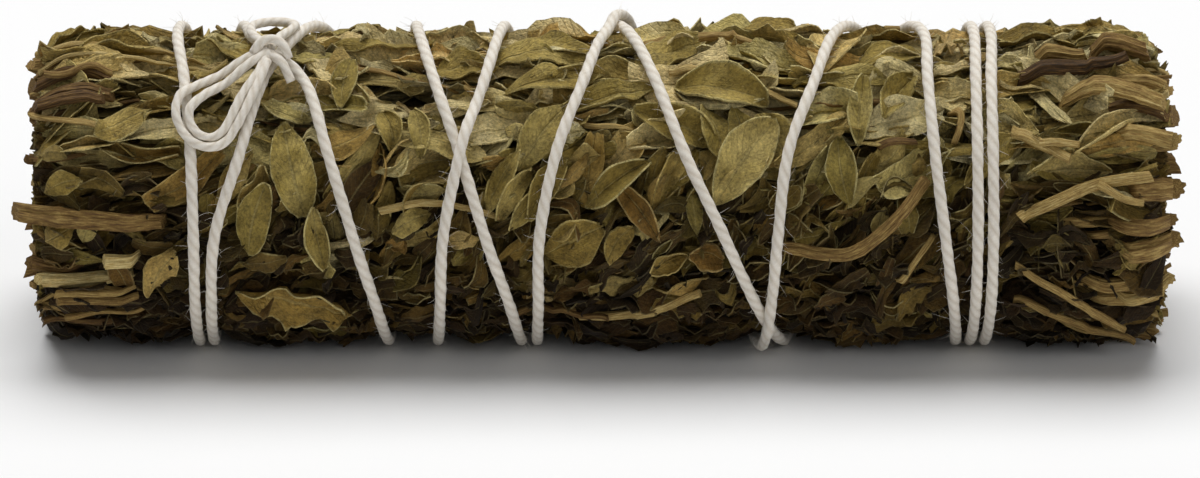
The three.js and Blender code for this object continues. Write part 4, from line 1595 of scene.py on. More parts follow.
@dataclass
class LeafMaker:
    """Chooses a leaf's size, heading and colour for its place on the bunch.

    Attributes:
        rng: Random numbers.
        slant: Heading of the leaves across the middle, in degrees.
        torn_share: Share of the leaves that are torn.
        ginger_share: Share that has gone ginger.
        pale_share: Share that is much paler than the rest.
        fold_spread: Spread of the folds, in degrees.
        curl_spread: Spread of the rolled edges.
        twist_spread: Spread of the twists.
        tilt_spread: Spread of the leans.
    """

    rng: Random
    slant: float = 46.0
    torn_share: float = 0.35
    ginger_share: float = 0.06
    pale_share: float = 0.05
    fold_spread: float = 26.0
    curl_spread: float = 36.0
    twist_spread: float = 34.0
    tilt_spread: float = 20.0

    def heading(self, x: float, turn: float) -> float:
        """Picks which way a leaf points: along the bunch above and below, slanted between."""
        height = top_share(turn)
        slant = float(smooth_step(height, -0.45, 0.0) * (1.0 - smooth_step(height, 0.62, 0.88)))
        slant *= 1.0 - float(smooth_step(abs(x), 46.0, 56.0))
        front = 1.0 if math.cos(math.radians(turn)) > 0 else -1.0
        end = float(smooth_step(abs(x), 44.0, 54.0) * smooth_step(height, -0.6, 0.0))
        spread = 9.0 + 14.0 * slant + 14.0 * end
        base = self.slant * slant * front + self.rng.normal(0.0, spread)
        return base + (180.0 if self.rng.uniform() < 0.5 else 0.0)

    def blade(self, x: float, turn: float, layer: Layer) -> Blade:
        """Picks a leaf's cut and bend.

        Args:
            x: Where it lies along the bunch.
            turn: Where it lies round it.
            layer: Its layer.

        Returns:
            The leaf.
        """
        rng = self.rng
        height = top_share(turn)
        upper = float(smooth_step(height, 0.45, 0.85))
        lower = float(smooth_step(-height, 0.05, 0.5))
        end = float(smooth_step(abs(x), 46.0, 58.0))
        length = rng.uniform(4.5, 10.0) + 4.0 * upper + 1.0 * end
        width = rng.uniform(1.5, 4.2) + 1.0 * upper - 0.5 * lower
        width *= 1.0 - 0.15 * end
        if layer is Layer.FILLER:
            length, width = length + 2.0, width * 1.6
        elif layer is Layer.CRUMBS:
            length, width = rng.uniform(2.6, 6.5), rng.uniform(1.2, 3.0)
        crisp = 1.0 if layer is Layer.TOP else 0.0
        small = 1.0 if layer is Layer.CRUMBS else 0.0
        kept, jag = WHOLE_BLADE, 0.0
        if rng.uniform() < self.torn_share:
            kept = (rng.uniform(0.02, 0.3), rng.uniform(0.7, 0.97))
            jag = rng.uniform(0.15, 0.55)
        curl = rng.normal(0.0, 34.0)
        fold = rng.normal(12.0, self.fold_spread + 14.0 * end + 10.0 * lower)
        return Blade(
            length=length,
            width=width,
            kept=kept,
            full=rng.uniform(0.8, 1.25),
            blunt=rng.uniform(0.55, 0.9),
            folds=tuple(fold + rng.normal(0.0, 10.0, size=2)),
            rolls=tuple(curl + rng.normal(0.0, self.curl_spread, size=2)),
            twist=rng.normal(0.0, self.twist_spread),
            arch=rng.normal(0.15, 0.6),
            sway=rng.normal(0.0, 0.9),
            ruffle=abs(rng.normal(0.0, 0.34 + 0.14 * lower - 0.1 * crisp)),
            waves=rng.uniform(1.0, 3.2),
            crumple=0.10 + 0.08 * lower + 0.04 * end + 0.04 * small,
            jag=jag,
            tilt=rng.normal(0.0, self.tilt_spread),
            pitch=rng.normal(0.0, 5.0),
        )

    def colour(self, x: float, turn: float, layer: Layer) -> tuple[float, Row]:
        """Picks a leaf's tone and grain.

        Args:
            x: Where it lies along the bunch.
            turn: Where it lies round it.
            layer: Its layer.

        Returns:
            Its tone, and its hue, painted shade and own number.
        """
        rng = self.rng
        height = top_share(turn)
        upper = float(smooth_step(height, 0.25, 0.9))
        lower = float(smooth_step(-height, -0.1, 0.5))
        end = float(smooth_step(abs(x), 44.0, 56.0))
        spread = 0.19 if layer is Layer.TOP else 0.14
        tone = 0.33 + 0.54 * upper - 0.12 * lower - 0.12 * end + rng.normal(0.0, spread)
        hue = 0.32 - 0.08 * upper + 0.34 * lower + 0.10 * end + rng.normal(0.0, 0.2)
        draw = rng.uniform()
        if draw < self.ginger_share * (1.0 + lower):
            hue, tone = 0.95, tone + 0.08
        elif draw > 1.0 - self.pale_share:
            tone = tone + 0.25
        # Painted shade: darker for deeper layers, on the lower side and at the ends, lighter on top.
        painted_shade = LAYER_PAINTED_SHADE[layer] + rng.uniform(-0.05, 0.25)
        painted_shade += 0.14 * lower + 0.12 * end - 0.32 * upper
        own = float(rng.uniform())
        return within(tone, 0.05, 0.95), (within(hue, 0.0, 1.0), within(painted_shade, 0.0, 1.0), own)


@dataclass
class SageBunch:
    """All the leaves and stems: sprigs, loose leaves and loose twigs.

    Attributes:
        bunch: The bunch's frame; not used.
        bed: The map of how high the leaves lie.
        finishes: The finishes.
        seed: Start of the random numbers.
        filler_leaves: Leaves laid first, deep inside.
        body_leaves: Leaves laid over them.
        top_leaves: Leaves that show.
        crumbs: Broken bits laid last.
        small_twigs: Stalks and broken twigs among the leaves.
        left_stems: Thin stems cut off at the left end.
        right_stems: Thin stems cut off at the right end.
    """

    bunch: BunchFrame
    bed: LeafBed
    finishes: Finishes
    seed: int = 7
    filler_leaves: int = 1050
    body_leaves: int = 2450
    top_leaves: int = 1650
    crumbs: int = 700
    small_twigs: int = 170
    left_stems: int = 26
    right_stems: int = 40

    def __post_init__(self) -> None:
        """Models the blanks and opens a sheaf for every piece."""
        self.rng = np.random.default_rng(self.seed)
        self.maker = LeafMaker(self.rng)
        plain_leaf = LeafBlank.model(6, 4)
        self.leaf = LeafBlank.model(8, 4)
        self.large_leaf = LeafBlank.model(24, 10)
        self.layer_blanks = {
            Layer.FILLER: plain_leaf,
            Layer.BODY: self.leaf,
            Layer.TOP: LeafBlank.model(12, 6),
            Layer.CRUMBS: plain_leaf,
        }
        self.mass = RodBlank.model(24, 40)
        self.stem = RodBlank.model(16, 48)
        self.twig = RodBlank.model(7, 12)
        self.end_stem = RodBlank.model(14, 8)
        self.long_twig = RodBlank.model(24, 30)
        count = 1 + INNER_SPRIGS + OUTER_SPRIGS
        self.sprig_leaves = [Sheaf(f"sage_sprig_{n:02d}_leaves") for n in range(1, count + 1)]
        self.sprig_stems = [Sheaf(f"sage_stems_{n}") for n in range(1, 6)]
        self.single: list[tuple[Sheaf, Material, Slot, list[str]]] = []

    def sprig_at(self, turn: float, radius: float) -> int:
        """Returns the number of the sprig whose sector holds a place."""
        if radius < CORE_RADIUS:
            return 1
        if radius < INNER_RING_RADIUS:
            return 2 + int(round((turn - 15.0) / 60.0)) % INNER_SPRIGS
        return FIRST_OUTER_SPRIG + int(round(turn / 30.0)) % OUTER_SPRIGS

    def leaves_at(self, turn: float) -> list[Copy]:
        """Returns the leaves of the outer sprig at a turn."""
        return self.sprig_leaves[self.sprig_at(turn, LEAF_RADIUS) - 1].copies

    def stems_of(self, sprig: int) -> list[Copy]:
        """Returns the stems that a sprig's stem is kept with."""
        if sprig < FIRST_OUTER_SPRIG:
            return self.sprig_stems[0].copies
        return self.sprig_stems[1 + (sprig - FIRST_OUTER_SPRIG) // 3].copies

    def stems_at(self, turn: float) -> list[Copy]:
        """Returns the stems of the outer sprig at a turn."""
        return self.stems_of(self.sprig_at(turn, LEAF_RADIUS))

    def lowest_spot(self, tries: int, inset: float) -> tuple[float, float]:
        """Finds a low place among a few random ones.

        Args:
            tries: How many places are looked at.
            inset: How far inside the ends the place is.

        Returns:
            The place's x and turn.
        """
        x = self.rng.uniform(LEFT_END + inset, RIGHT_END - inset, tries)
        turn = self.rng.uniform(0.0, 360.0, tries)
        height = np.zeros(tries)
        for shift_x, shift_turn in ((0, 0), (2, 0), (-2, 0), (0, 5), (0, -5)):
            height += self.bed.look_up(self.bed.height, x + shift_x, turn + shift_turn)
        low = int(np.argmin(height))
        return float(x[low]), float(turn[low])

    def keep_inside(self, blade: Array, x: float, heading: float) -> float:
        """Shifts a leaf so that it ends at the bunch's cut end, give or take a little."""
        angle = math.radians(heading)
        reach = blade[..., 0] * math.cos(angle) - blade[..., 1] * math.sin(angle)
        spare = self.rng.uniform(-1.4, 0.5)
        highest = RIGHT_END + spare - reach.max()
        lowest = LEFT_END - spare - reach.min()
        return min(max(x, lowest), highest)

    def lay_layer(self, layer: Layer, count: int, tries: int) -> None:
        """Lays one layer of leaves.

        Args:
            layer: Which layer.
            count: How many leaves.
            tries: How many places are looked at for each.
        """
        blank = self.layer_blanks[layer]
        for _ in range(count):
            x, turn = self.lowest_spot(tries, 1.0)
            if layer is Layer.CRUMBS and self.rng.uniform() < 0.5:
                turn = self.rng.uniform(-75.0, 20.0)
            cut = self.maker.blade(x, turn, layer)
            heading = self.maker.heading(x, turn)
            blade = cut.bend(blank, self.rng)
            x = self.keep_inside(blade, x, heading)
            flex = self.rng.uniform(0.2, 0.7)
            tuck = self.rng.uniform(0.25, 0.6)
            laid = self.bed.drape(blank, blade, (x, turn, heading), flex, tuck)
            tone, grain = self.maker.colour(x, turn, layer)
            self.leaves_at(turn).append(leaf_copy(blank, laid, tone, grain))

    def lay_placed_leaf(self, leaf: PlacedLeaf, torn: float = 0.0, tuck: float = 0.15) -> Copy:
        """Lays a leaf at its own place.

        Args:
            leaf: The leaf.
            torn: Depth of its tears.
            tuck: Share of it that lies under its neighbours.

        Returns:
            The copy.
        """
        rng = self.rng
        cut = Blade(
            length=leaf.length,
            width=leaf.width,
            kept=WHOLE_BLADE,
            full=rng.uniform(0.9, 1.15),
            blunt=leaf.blunt,
            folds=tuple(leaf.cup + rng.normal(0.0, 6.0, size=2)),
            rolls=tuple(leaf.cup + rng.normal(0.0, 20.0, size=2)),
            twist=rng.normal(0.0, 16.0),
            arch=rng.uniform(0.0, 0.5),
            sway=leaf.sway,
            ruffle=0.2 * leaf.crush,
            waves=rng.uniform(1.2, 2.6),
            crumple=0.03 * leaf.crush,
            jag=torn,
            tilt=rng.normal(0.0, 10.0) if tuck > 0.2 else 0.0,
            ragged=0.35 * leaf.crush,
        )
        blade = cut.bend(self.large_leaf, rng)
        spot = (leaf.x, leaf.turn, leaf.heading)
        laid = self.bed.drape(self.large_leaf, blade, spot, 0.25, tuck)
        grain = (leaf.hue, 0.0, 0.9 if tuck < 0.2 else 0.6)
        return leaf_copy(self.large_leaf, laid, leaf.tone, grain, LOOSE_LEAF_THICKNESS)

    def twig_line(self, route: Sequence[tuple[float, float]], radius: float, sunk: float) -> Array:
        """Runs a smooth line over the bed for a twig and raises the bed over it.

        Args:
            route: Rows of x and turn.
            radius: The twig's radius.
            sunk: How far it is pressed into the leaves.

        Returns:
            Rows of x, turn and radius.
        """
        line = smooth_route([(x, turn, 0.0) for x, turn in route], 12)
        under = np.full(len(line), -np.inf)
        for shift in (-1.0, 0.0, 1.0):
            turn = line[:, 1] + turn_of(shift * radius)
            under = np.maximum(under, self.bed.look_up(self.bed.height, line[:, 0], turn))
        smooth = np.quantile(under, 0.7)
        places = np.linspace(-1.0, 1.0, len(under))
        fit = np.polyval(np.polyfit(places, under, 2 if len(route) < 4 else 3), places)
        line[:, 2] = 0.75 * fit + 0.25 * smooth + radius * 0.9 - sunk
        for shift in np.linspace(-1.0, 1.0, 5):
            turn = line[:, 1] + turn_of(shift * radius)
            top = line[:, 2] + radius * math.sqrt(max(1.0 - shift * shift, 0.0))
            self.bed.raise_to(line[:, 0], turn, top)
        return line

    def lay_small_twigs(self, count: int) -> None:
        """Lays stalks and broken twigs here and there, more of them towards the ends."""
        rng = self.rng
        for _ in range(count):
            at_end = rng.uniform() < 0.5
            length = rng.uniform(7.0, 22.0)
            x = rng.uniform(LEFT_END, RIGHT_END)
            if at_end:
                left = LEFT_END - rng.uniform(-0.6, 1.2)
                x = rng.choice([left, RIGHT_END + rng.uniform(-0.6, 1.2)])
            turn = rng.uniform(0.0, 360.0)
            heading = math.radians(self.maker.heading(x, turn))
            heading = math.atan(math.tan(heading)) * (0.3 if at_end else 1.0)
            inward = -1.0 if x > 0 else 1.0
            stout = at_end and rng.uniform() < 0.3
            thick = rng.uniform(0.55, 1.0) if stout else rng.uniform(0.18, 0.45)
            bend = rng.normal(0.0, 0.5 if stout else 1.6)
            heading *= 0.4 if stout else 1.0
            route = []
            for share in (0.0, 0.33, 0.66, 1.0):
                run = share * length * inward
                arc = run * math.sin(heading) + bend * math.sin(math.pi * share)
                route.append((x + run * math.cos(heading), turn + turn_of(arc)))
            line = self.twig_line(route, thick, 0.15)
            inner = np.linspace(0.0, 1.0, len(line))
            line[:, 2] -= (0.6 + 1.6 * thick) * smooth_step(inner, 0.6, 1.0)
            rod = Rod(
                thick,
                ribs=0.12,
                nodes=rng.uniform(6, 16),
                taper=rng.uniform(0.0, 0.5),
                slants=(0.7 if stout else 0.3, 0.3),
                outward=stout,
            )
            tone = within(rng.normal(0.5, 0.17), 0.1, 0.9)
            blank = self.long_twig if stout else self.twig
            self.stems_at(turn).append(rod.follow(blank, line, tone, rng))

    def lay_sprig_stems(self) -> None:
        """Runs one main stem through every sprig, from end to end."""
        rng = self.rng
        stations = np.linspace(0.0, 1.0, 40)
        for sprig, radius in enumerate(STEM_RADII, start=1):
            inner, outer, turn, _ = self.sector(sprig, LEAF_RADIUS)
            distance = (inner + outer) / 2.0 if inner else 0.02
            left = LEFT_END - rng.uniform(-0.4, 1.8)
            right = RIGHT_END + rng.uniform(-0.4, 1.6)
            x = left + (right - left) * stations
            wander = rng.normal(0.0, 0.35, size=4)
            sideways = sum(w * np.sin(np.pi * (n + 1) * stations) for n, w in enumerate(wander))
            line = columns(x, turn + turn_of(sideways), distance + 0.4 * sideways)
            nodes = rng.uniform(18, 30)
            rod = Rod(radius * 0.95, 0.09, nodes, taper=-0.05, slants=(0.4, 0.4), pith=0.3)
            self.stems_of(sprig).append(rod.follow(self.stem, line, 0.42, rng))

    def fill_sprigs(self) -> None:
        """Gives every sprig its pressed leaf mass, which stops short of the cut ends."""
        rng = self.rng
        blank = self.mass
        angle, reach = blank.second, blank.third
        across, depth = np.cos(angle), np.sin(angle)
        squared = np.maximum(np.abs(across), np.abs(depth))
        across, depth = across / squared, depth / squared
        end = np.where((blank.first < 0.001) | (blank.first > 0.999), 1.0, 0.0)
        for sprig in range(1, len(self.sprig_leaves) + 1):
            inner, outer, middle, half = self.sector(sprig, BED_RADIUS)
            x = (LEFT_END + 4.0) + (RIGHT_END - LEFT_END - 8.0) * blank.first
            bump = 0.35 * np.sin(0.9 * x + 3.0 * angle + sprig) + 0.25 * np.sin(2.3 * x - 2.0 * angle)
            if inner == 0.0:
                turn = np.degrees(angle)
                radius = (outer - 0.5 + bump * 0.5) * reach
            else:
                centre = (inner + outer) / 2.0
                thick = (outer - inner) / 2.0 - 0.15
                radius = centre + (thick * depth + bump * 0.5) * reach
                turn = middle + (half * 0.97) * across * reach
            x = x + end * rng.normal(0.0, 0.5, size=len(x))
            flat = np.zeros(len(x))
            pattern = columns(blank.first, 0.0, 0.22)
            # The pressed mass gets painted shade of 0.85, as it lies deep inside the bunch.
            copy = Copy(blank, columns(x, turn, radius), flat, pattern, columns(flat + 0.6, 0.85, 0.1))
            self.sprig_leaves[sprig - 1].copies.append(copy)

    @staticmethod
    def sector(sprig: int, outermost: float) -> tuple[float, float, float, float]:
        """Returns a sprig's inner and outer radius, middle turn and half its spread."""
        if sprig == 1:
            return 0.0, CORE_RADIUS, 0.0, 180.0
        if sprig < FIRST_OUTER_SPRIG:
            return CORE_RADIUS, INNER_RING_RADIUS, 15.0 + 60.0 * (sprig - 2), 30.0
        return INNER_RING_RADIUS, outermost, 30.0 * (sprig - FIRST_OUTER_SPRIG), 15.0

    def lay_end_leaves(self) -> None:
        """Packs the cut ends: leaf edges curled round each other, sliced off flat."""
        for sprig in range(1, len(self.sprig_leaves) + 1):
            inner, outer, middle, half = self.sector(sprig, END_FACE_RADIUS)
            area = math.pi * (outer**2 - inner**2) * half / 180.0
            count = int(area * END_LEAVES_PER_AREA)
            for side in [-1.0] * count + [1.0] * count:
                radius = math.sqrt(self.rng.uniform(inner**2, outer**2))
                turn = middle + self.rng.uniform(-half, half)
                self.lay_end_leaf(sprig, side, radius, turn)

    def lay_end_leaf(self, sprig: int, side: float, radius: float, turn: float) -> None:
        """Stands one sliced leaf in a cut end.

        Args:
            sprig: The sprig it belongs to.
            side: -1 for the left end, 1 for the right end.
            radius: How far from the axis its middle is.
            turn: Where it is round the axis.
        """
        rng, blank = self.rng, self.leaf
        length = rng.uniform(2.2, 5.5)
        depth = rng.uniform(5.0, 9.0)
        swirl = math.radians(turn) + math.pi / 2.0 + rng.normal(0.0, 0.45)
        bow = rng.normal(0.25, 0.35)
        share = blank.share - 0.5
        angle = swirl + bow * 2.0 * share
        step = length / blank.along
        run_y = running_total(np.cos(angle[1:]) * step)
        run_z = running_total(np.sin(angle[1:]) * step)
        run_y -= run_y.mean()
        run_z -= run_z.mean()
        waves = rng.uniform(0.6, 1.8)
        wobble = 0.25 * np.sin(FULL_TURN * waves * blank.share + rng.uniform(0, 6.28))
        centre = (radius * math.cos(math.radians(turn)), radius * math.sin(math.radians(turn)))
        level = np.linspace(0.0, 1.0, blank.across + 1)
        face = (RIGHT_END if side > 0 else -LEFT_END) + rng.normal(-0.3, 0.45)
        spread = rng.normal(0.0, 0.12)
        y = centre[0] + (run_y - wobble * np.sin(angle))[:, None] * (1.0 - spread * level[None, :])
        z = centre[1] + (run_z + wobble * np.cos(angle))[:, None] * (1.0 - spread * level[None, :])
        nick = 0.18 * rng.normal(size=blank.along + 1)
        x = side * (face + nick[:, None] * (1.0 - level[None, :]) - depth * level[None, :])
        points = blank.thicken(np.stack([x, y, z], axis=-1), LOOSE_LEAF_THICKNESS)
        radii = np.minimum(np.hypot(points[:, 1], points[:, 2]), END_LEAF_LIMIT)
        turns = np.degrees(np.arctan2(points[:, 2], points[:, 1]))
        anchor = columns(points[:, 0], turns, radii)
        tone = within(rng.normal(0.42, 0.14), 0.08, 0.9)
        hue = within(rng.normal(0.4, 0.25), 0.0, 1.0)
        pattern = columns(0.1 + 0.8 * blank.first, np.where(blank.second < -0.99, 1.0, 0.3), tone)
        flat = np.zeros(len(points))
        # The second grain value is painted shade, at random up to 0.4, for the leaves in the cut ends.
        grain = columns(flat + hue, rng.uniform(0.0, 0.4), rng.uniform())
        self.sprig_leaves[sprig - 1].copies.append(Copy(blank, anchor, flat, pattern, grain))

    def lay_end_stems(self) -> None:
        """Adds the thinner stems that are cut off with the leaves at both ends."""
        rng = self.rng
        stations = np.linspace(0.0, 1.0, 8)
        for side in [-1.0] * self.left_stems + [1.0] * self.right_stems:
            radius = math.sqrt(rng.uniform(2.0**2, 18.4**2))
            turn = rng.uniform(0.0, 360.0)
            thick = rng.uniform(0.35, 0.9) if side < 0 else rng.uniform(0.4, 1.2)
            face = (RIGHT_END if side > 0 else -LEFT_END) + rng.uniform(-0.8, 1.0)
            depth = rng.uniform(6.0, 12.0)
            x = side * (face - depth * stations)
            line = columns(x, turn + rng.normal(0.0, 3.0) * stations, radius - 2.6 * stations)
            rod = Rod(thick, 0.1, 9.0, taper=0.0, slants=(0.6, 0.1), outward=True)
            tone = within(rng.normal(0.5, 0.15), 0.1, 0.9)
            stems = self.stems_of(self.sprig_at(turn, radius))
            stems.append(rod.follow(self.end_stem, line, tone, rng))

    def lay_all(self) -> None:
        """Lays everything in order, from the core to the loose leaves on top."""
        self.fill_sprigs()
        self.lay_sprig_stems()
        self.lay_layer(Layer.FILLER, self.filler_leaves, 5)
        self.lay_layer(Layer.BODY, self.body_leaves, 6)
        self.lay_small_twigs(self.small_twigs)
        self.lay_layer(Layer.TOP, self.top_leaves, 8)
        self.lay_layer(Layer.CRUMBS, self.crumbs, 3)
        for leaf in (PlacedLeaf(*row) for row in TOP_LEAVES):
            self.leaves_at(leaf.turn).append(self.lay_placed_leaf(leaf, 0.3, 0.38))
        for twig in (PlacedTwig(*row) for row in TOP_TWIGS):
            self.stems_at(twig.route[0][1]).append(self.placed_twig(twig))
        self.lay_end_leaves()
        self.lay_end_stems()
        for name, rows in LOOSE_TWIGS.items():
            copies = [self.placed_twig(PlacedTwig(*row)) for row in rows]
            self.single.append((Sheaf(f"sage_{name}", copies), self.finishes.stem, Slot.STEM, [name]))
        for name, (slot, *row) in LOOSE_LEAVES.items():
            copy = self.lay_placed_leaf(PlacedLeaf(*row), 0.8 if name in TORN_LEAVES else 0.0)
            self.single.append((Sheaf(f"sage_{name}", [copy]), self.finishes.leaf, slot, [name]))
        self.bed.finish_bed()

    def placed_twig(self, twig: PlacedTwig) -> Copy:
        """Lays a twig at its own place and returns the copy."""
        line = self.twig_line(twig.route, twig.radius, twig.sunk + 0.2)
        inner = np.linspace(0.0, 1.0, len(line))
        if abs(line[0, 0]) < abs(line[-1, 0]):
            inner = inner[::-1]
        line[:, 2] -= 1.6 * twig.radius * smooth_step(inner, 0.75, 1.0)
        stout = twig.radius > 0.75
        slants = (twig.slant, twig.slant)
        rod = Rod(twig.radius, 0.14 if stout else 0.1, 11.0, 0.2, slants, outward=stout)
        return rod.follow(self.long_twig, line, twig.tone, self.rng)

    def build(self) -> None:
        """Makes every piece, dresses it and hides the frame's nodes that it stands for."""
        self.lay_all()
        pieces = []
        for sprig, sheaf in enumerate(self.sprig_leaves, start=1):
            rise = math.sin(math.radians(self.sector(sprig, BED_RADIUS)[2]))
            slot = Slot.LEAF_OLIVE
            if sprig > 1 and rise > 0.6:
                slot = Slot.LEAF_PALE
            elif sprig > 1 and rise < -0.3:
                slot = Slot.LEAF_BROWN
            pieces.append((sheaf, self.finishes.leaf, slot, [f"sprig_{sprig:02d}_leaves"]))
        groups = [range(1, 8), range(8, 11), range(11, 14), range(14, 17), range(17, 20)]
        for sheaf, sprigs in zip(self.sprig_stems, groups):
            nodes = [f"sprig_{sprig:02d}_stem" for sprig in sprigs]
            pieces.append((sheaf, self.finishes.stem, Slot.STEM, nodes))
        for sheaf, material, slot, nodes in pieces + self.single:
            hand_over(sheaf.build(self.bed.place), material, nodes)


# ---- the string


@dataclass
class BindingString:
    """One three-ply cotton string: its turns, its knot and bow, and its loose fibres.

    Attributes:
        bunch: The bunch's frame.
        route: Where the string runs.
        finishes: The finishes.
        radius: Its radius.
        tie_share: Radius in the knot and bow, as a share of that.
        plies: Plies that show as lobes.
        lay: Length over which a ply goes once round.
        step: Length of a face.
        sides: Faces round the string.
        map_rows: Bands of the unwrap.
        fibre_count: Number of loose fibres.
        fibre_radius: Radius of a fibre at its root.
    """

    bunch: BunchFrame
    route: StringRoute
    finishes: Finishes
    radius: float = STRING_DIAMETER / 2.0
    tie_share: float = 0.82
    plies: int = 3
    lay: float = 5.4
    step: float = 0.34
    sides: int = 18
    map_rows: int = 36
    fibre_count: int = 2200
    fibre_radius: float = 0.028

    def centre_line(self, polar: Array) -> Array:
        """Returns points in millimetres at even steps along a line on the bunch."""
        points = self.bunch.place(polar) / MM
        lengths = running_total(np.linalg.norm(np.diff(points, axis=0), axis=1))
        count = max(int(lengths[-1] / self.step), 8)
        even = np.linspace(0.0, lengths[-1], count + 1)
        return np.column_stack([np.interp(even, lengths, points[:, k]) for k in range(3)])

    def strand(self, name: str, centre: Array, radius: float) -> Shape:
        """Rolls a grid into a twisted strand along a line.

        Args:
            name: Name of the object.
            centre: Points along the strand, in millimetres.
            radius: Its radius.

        Returns:
            The object.
        """
        rows = len(centre) - 1
        deselect_all()
        bpy.ops.mesh.primitive_grid_add(x_subdivisions=rows, y_subdivisions=self.sides, size=2.0)
        strand = bpy.context.object
        strand.name = name
        strand.data.name = name
        points, loops, _ = read_mesh(strand)
        row = np.rint((points[:, 0] + 1.0) / 2.0 * rows).astype(int)
        column = np.rint((points[:, 1] + 1.0) / 2.0 * self.sides).astype(int)
        tangent = unit(np.gradient(centre, axis=0))
        side = unit(np.cross(tangent, centre - self.middle_of(centre)))
        up = np.cross(side, tangent)
        distance = np.arange(rows + 1) * self.step
        angle = column / self.sides * FULL_TURN
        lobe = self.plies * (angle - FULL_TURN * distance[row] / self.lay)
        rise = np.abs(np.cos(lobe / 2.0))
        thick = 1.0 + 0.035 * np.sin(distance[row] * 1.7) + 0.03 * np.sin(distance[row] * 0.61 + 1.0)
        reach = radius * (0.925 + 0.085 * rise) * thick
        placed = centre[row] + (reach * np.cos(angle))[:, None] * side[row]
        placed += (reach * np.sin(angle))[:, None] * up[row]
        placed[:, 2] = np.maximum(placed[:, 2], LOWEST_STRING)
        self.write(strand, placed * MM, loops, row, column, rows)
        twist = lobe / self.plies + angle
        pattern = columns(distance[row] * 2.0, np.cos(twist), np.sin(twist))
        Sheaf.note(strand.data, "pattern", pattern)
        # The ply's rise, which the cotton finish uses to paint shade into the grooves.
        Sheaf.note(strand.data, "grain", columns(rise, rise, rise))
        bpy.ops.object.mode_set(mode="EDIT")
        bpy.ops.mesh.select_all(action="SELECT")
        bpy.ops.mesh.remove_doubles(threshold=1e-7)
        bpy.ops.mesh.fill_holes(sides=self.sides + 2)
        bpy.ops.mesh.normals_make_consistent(inside=False)
        bpy.ops.object.mode_set(mode="OBJECT")
        bpy.ops.object.shade_smooth()
        strand.select_set(False)
        return strand

    def middle_of(self, centre: Array) -> Array:
        """Returns the bunch's axis beside every point of a line."""
        return columns(centre[:, 0], self.bunch.axis_y, self.bunch.axis_z)

    def write(self, strand: Shape, points: Array, loops: Array, row: Array,
              column: Array, rows: int) -> None:
        """Sets a strand's points and unwraps it into bands that each hold a stretch of it."""
        mesh = strand.data
        mesh.vertices.foreach_set("co", points.ravel())
        mesh.update()
        for layer in list(mesh.uv_layers):
            mesh.uv_layers.remove(layer)
        layer = mesh.uv_layers.new(name=BAKE_MAP)
        corners = row[loops].reshape(-1, 4)
        first = corners.min(axis=1)
        per_band = math.ceil(rows / self.map_rows)
        band = np.repeat(first // per_band, 4)
        along = (row[loops] - band * per_band) / per_band
        around = column[loops] / self.sides
        across = (band + BAND_MARGIN + (1.0 - 2.0 * BAND_MARGIN) * around) / self.map_rows
        layer.data.foreach_set("uv", columns(0.002 + 0.996 * along, across).ravel())

    def build(self) -> None:
        """Makes the turns, the knot and the fibres."""
        winding = self.route.winding()
        centre = self.centre_line(winding)
        turns = self.strand("string_turns", centre, self.radius)
        hand_over(turns, self.finishes.cotton, ["binding_string"])
        ties = []
        for number, strand in enumerate(TIES, start=1):
            line = self.centre_line(self.route.tie(strand))
            ties.append(self.strand(f"string_tie_{number}", line, self.radius * self.tie_share))
        knot = self.join(ties, "string_bow")
        hand_over(knot, self.finishes.cotton, ["binding_string"])
        self.fibres(centre)

    @staticmethod
    def join(parts: list[Shape], name: str) -> Shape:
        """Joins strands into one object and returns it."""
        activate(parts[0])
        for part in parts:
            part.select_set(True)
        bpy.ops.object.join()
        parts[0].name = name
        parts[0].data.name = name
        parts[0].select_set(False)
        return parts[0]

    def fibres(self, centre: Array) -> None:
        """Stands fine loose fibres off the string.

        Args:
            centre: Points along the string, in millimetres.
        """
        rng = np.random.default_rng(23)
        blank = RodBlank.model(3, 3)
        tangent = unit(np.gradient(centre, axis=0))
        sheaf = Sheaf("string_fibres")
        share, angle = blank.first, blank.second
        for _ in range(self.fibre_count):
            spot = int(rng.integers(2, len(centre) - 2))
            out = unit(np.cross(tangent[spot], rng.normal(size=3)))
            length = rng.uniform(0.5, 1.9)
            lean = rng.uniform(-1.4, 1.4)
            curl = rng.normal(size=3) * 0.35
            run = (share * length)[:, None]
            line = centre[spot] + out * (self.radius * 0.8)
            line = line + run * ((0.55 * out + lean * tangent[spot]) / 1.3 + 0.25 * out)
            line = line + (share**2)[:, None] * curl
            side = np.cross(tangent[spot], out)
            thick = self.fibre_radius * (1.0 - 0.7 * share) * blank.third
            place = line + (thick * np.cos(angle))[:, None] * side
            place = place + (thick * np.sin(angle))[:, None] * np.cross(side, out)
            place[:, 2] = np.maximum(place[:, 2], LOWEST_FIBRE)
            ones = np.ones((len(share), 3))
            sheaf.copies.append(Copy(blank, place, np.zeros(len(share)), ones, ones))
        piece = sheaf.build(lambda rows, lift: rows * MM)
        hand_over(piece, self.finishes.cotton, [])


# ---- studio


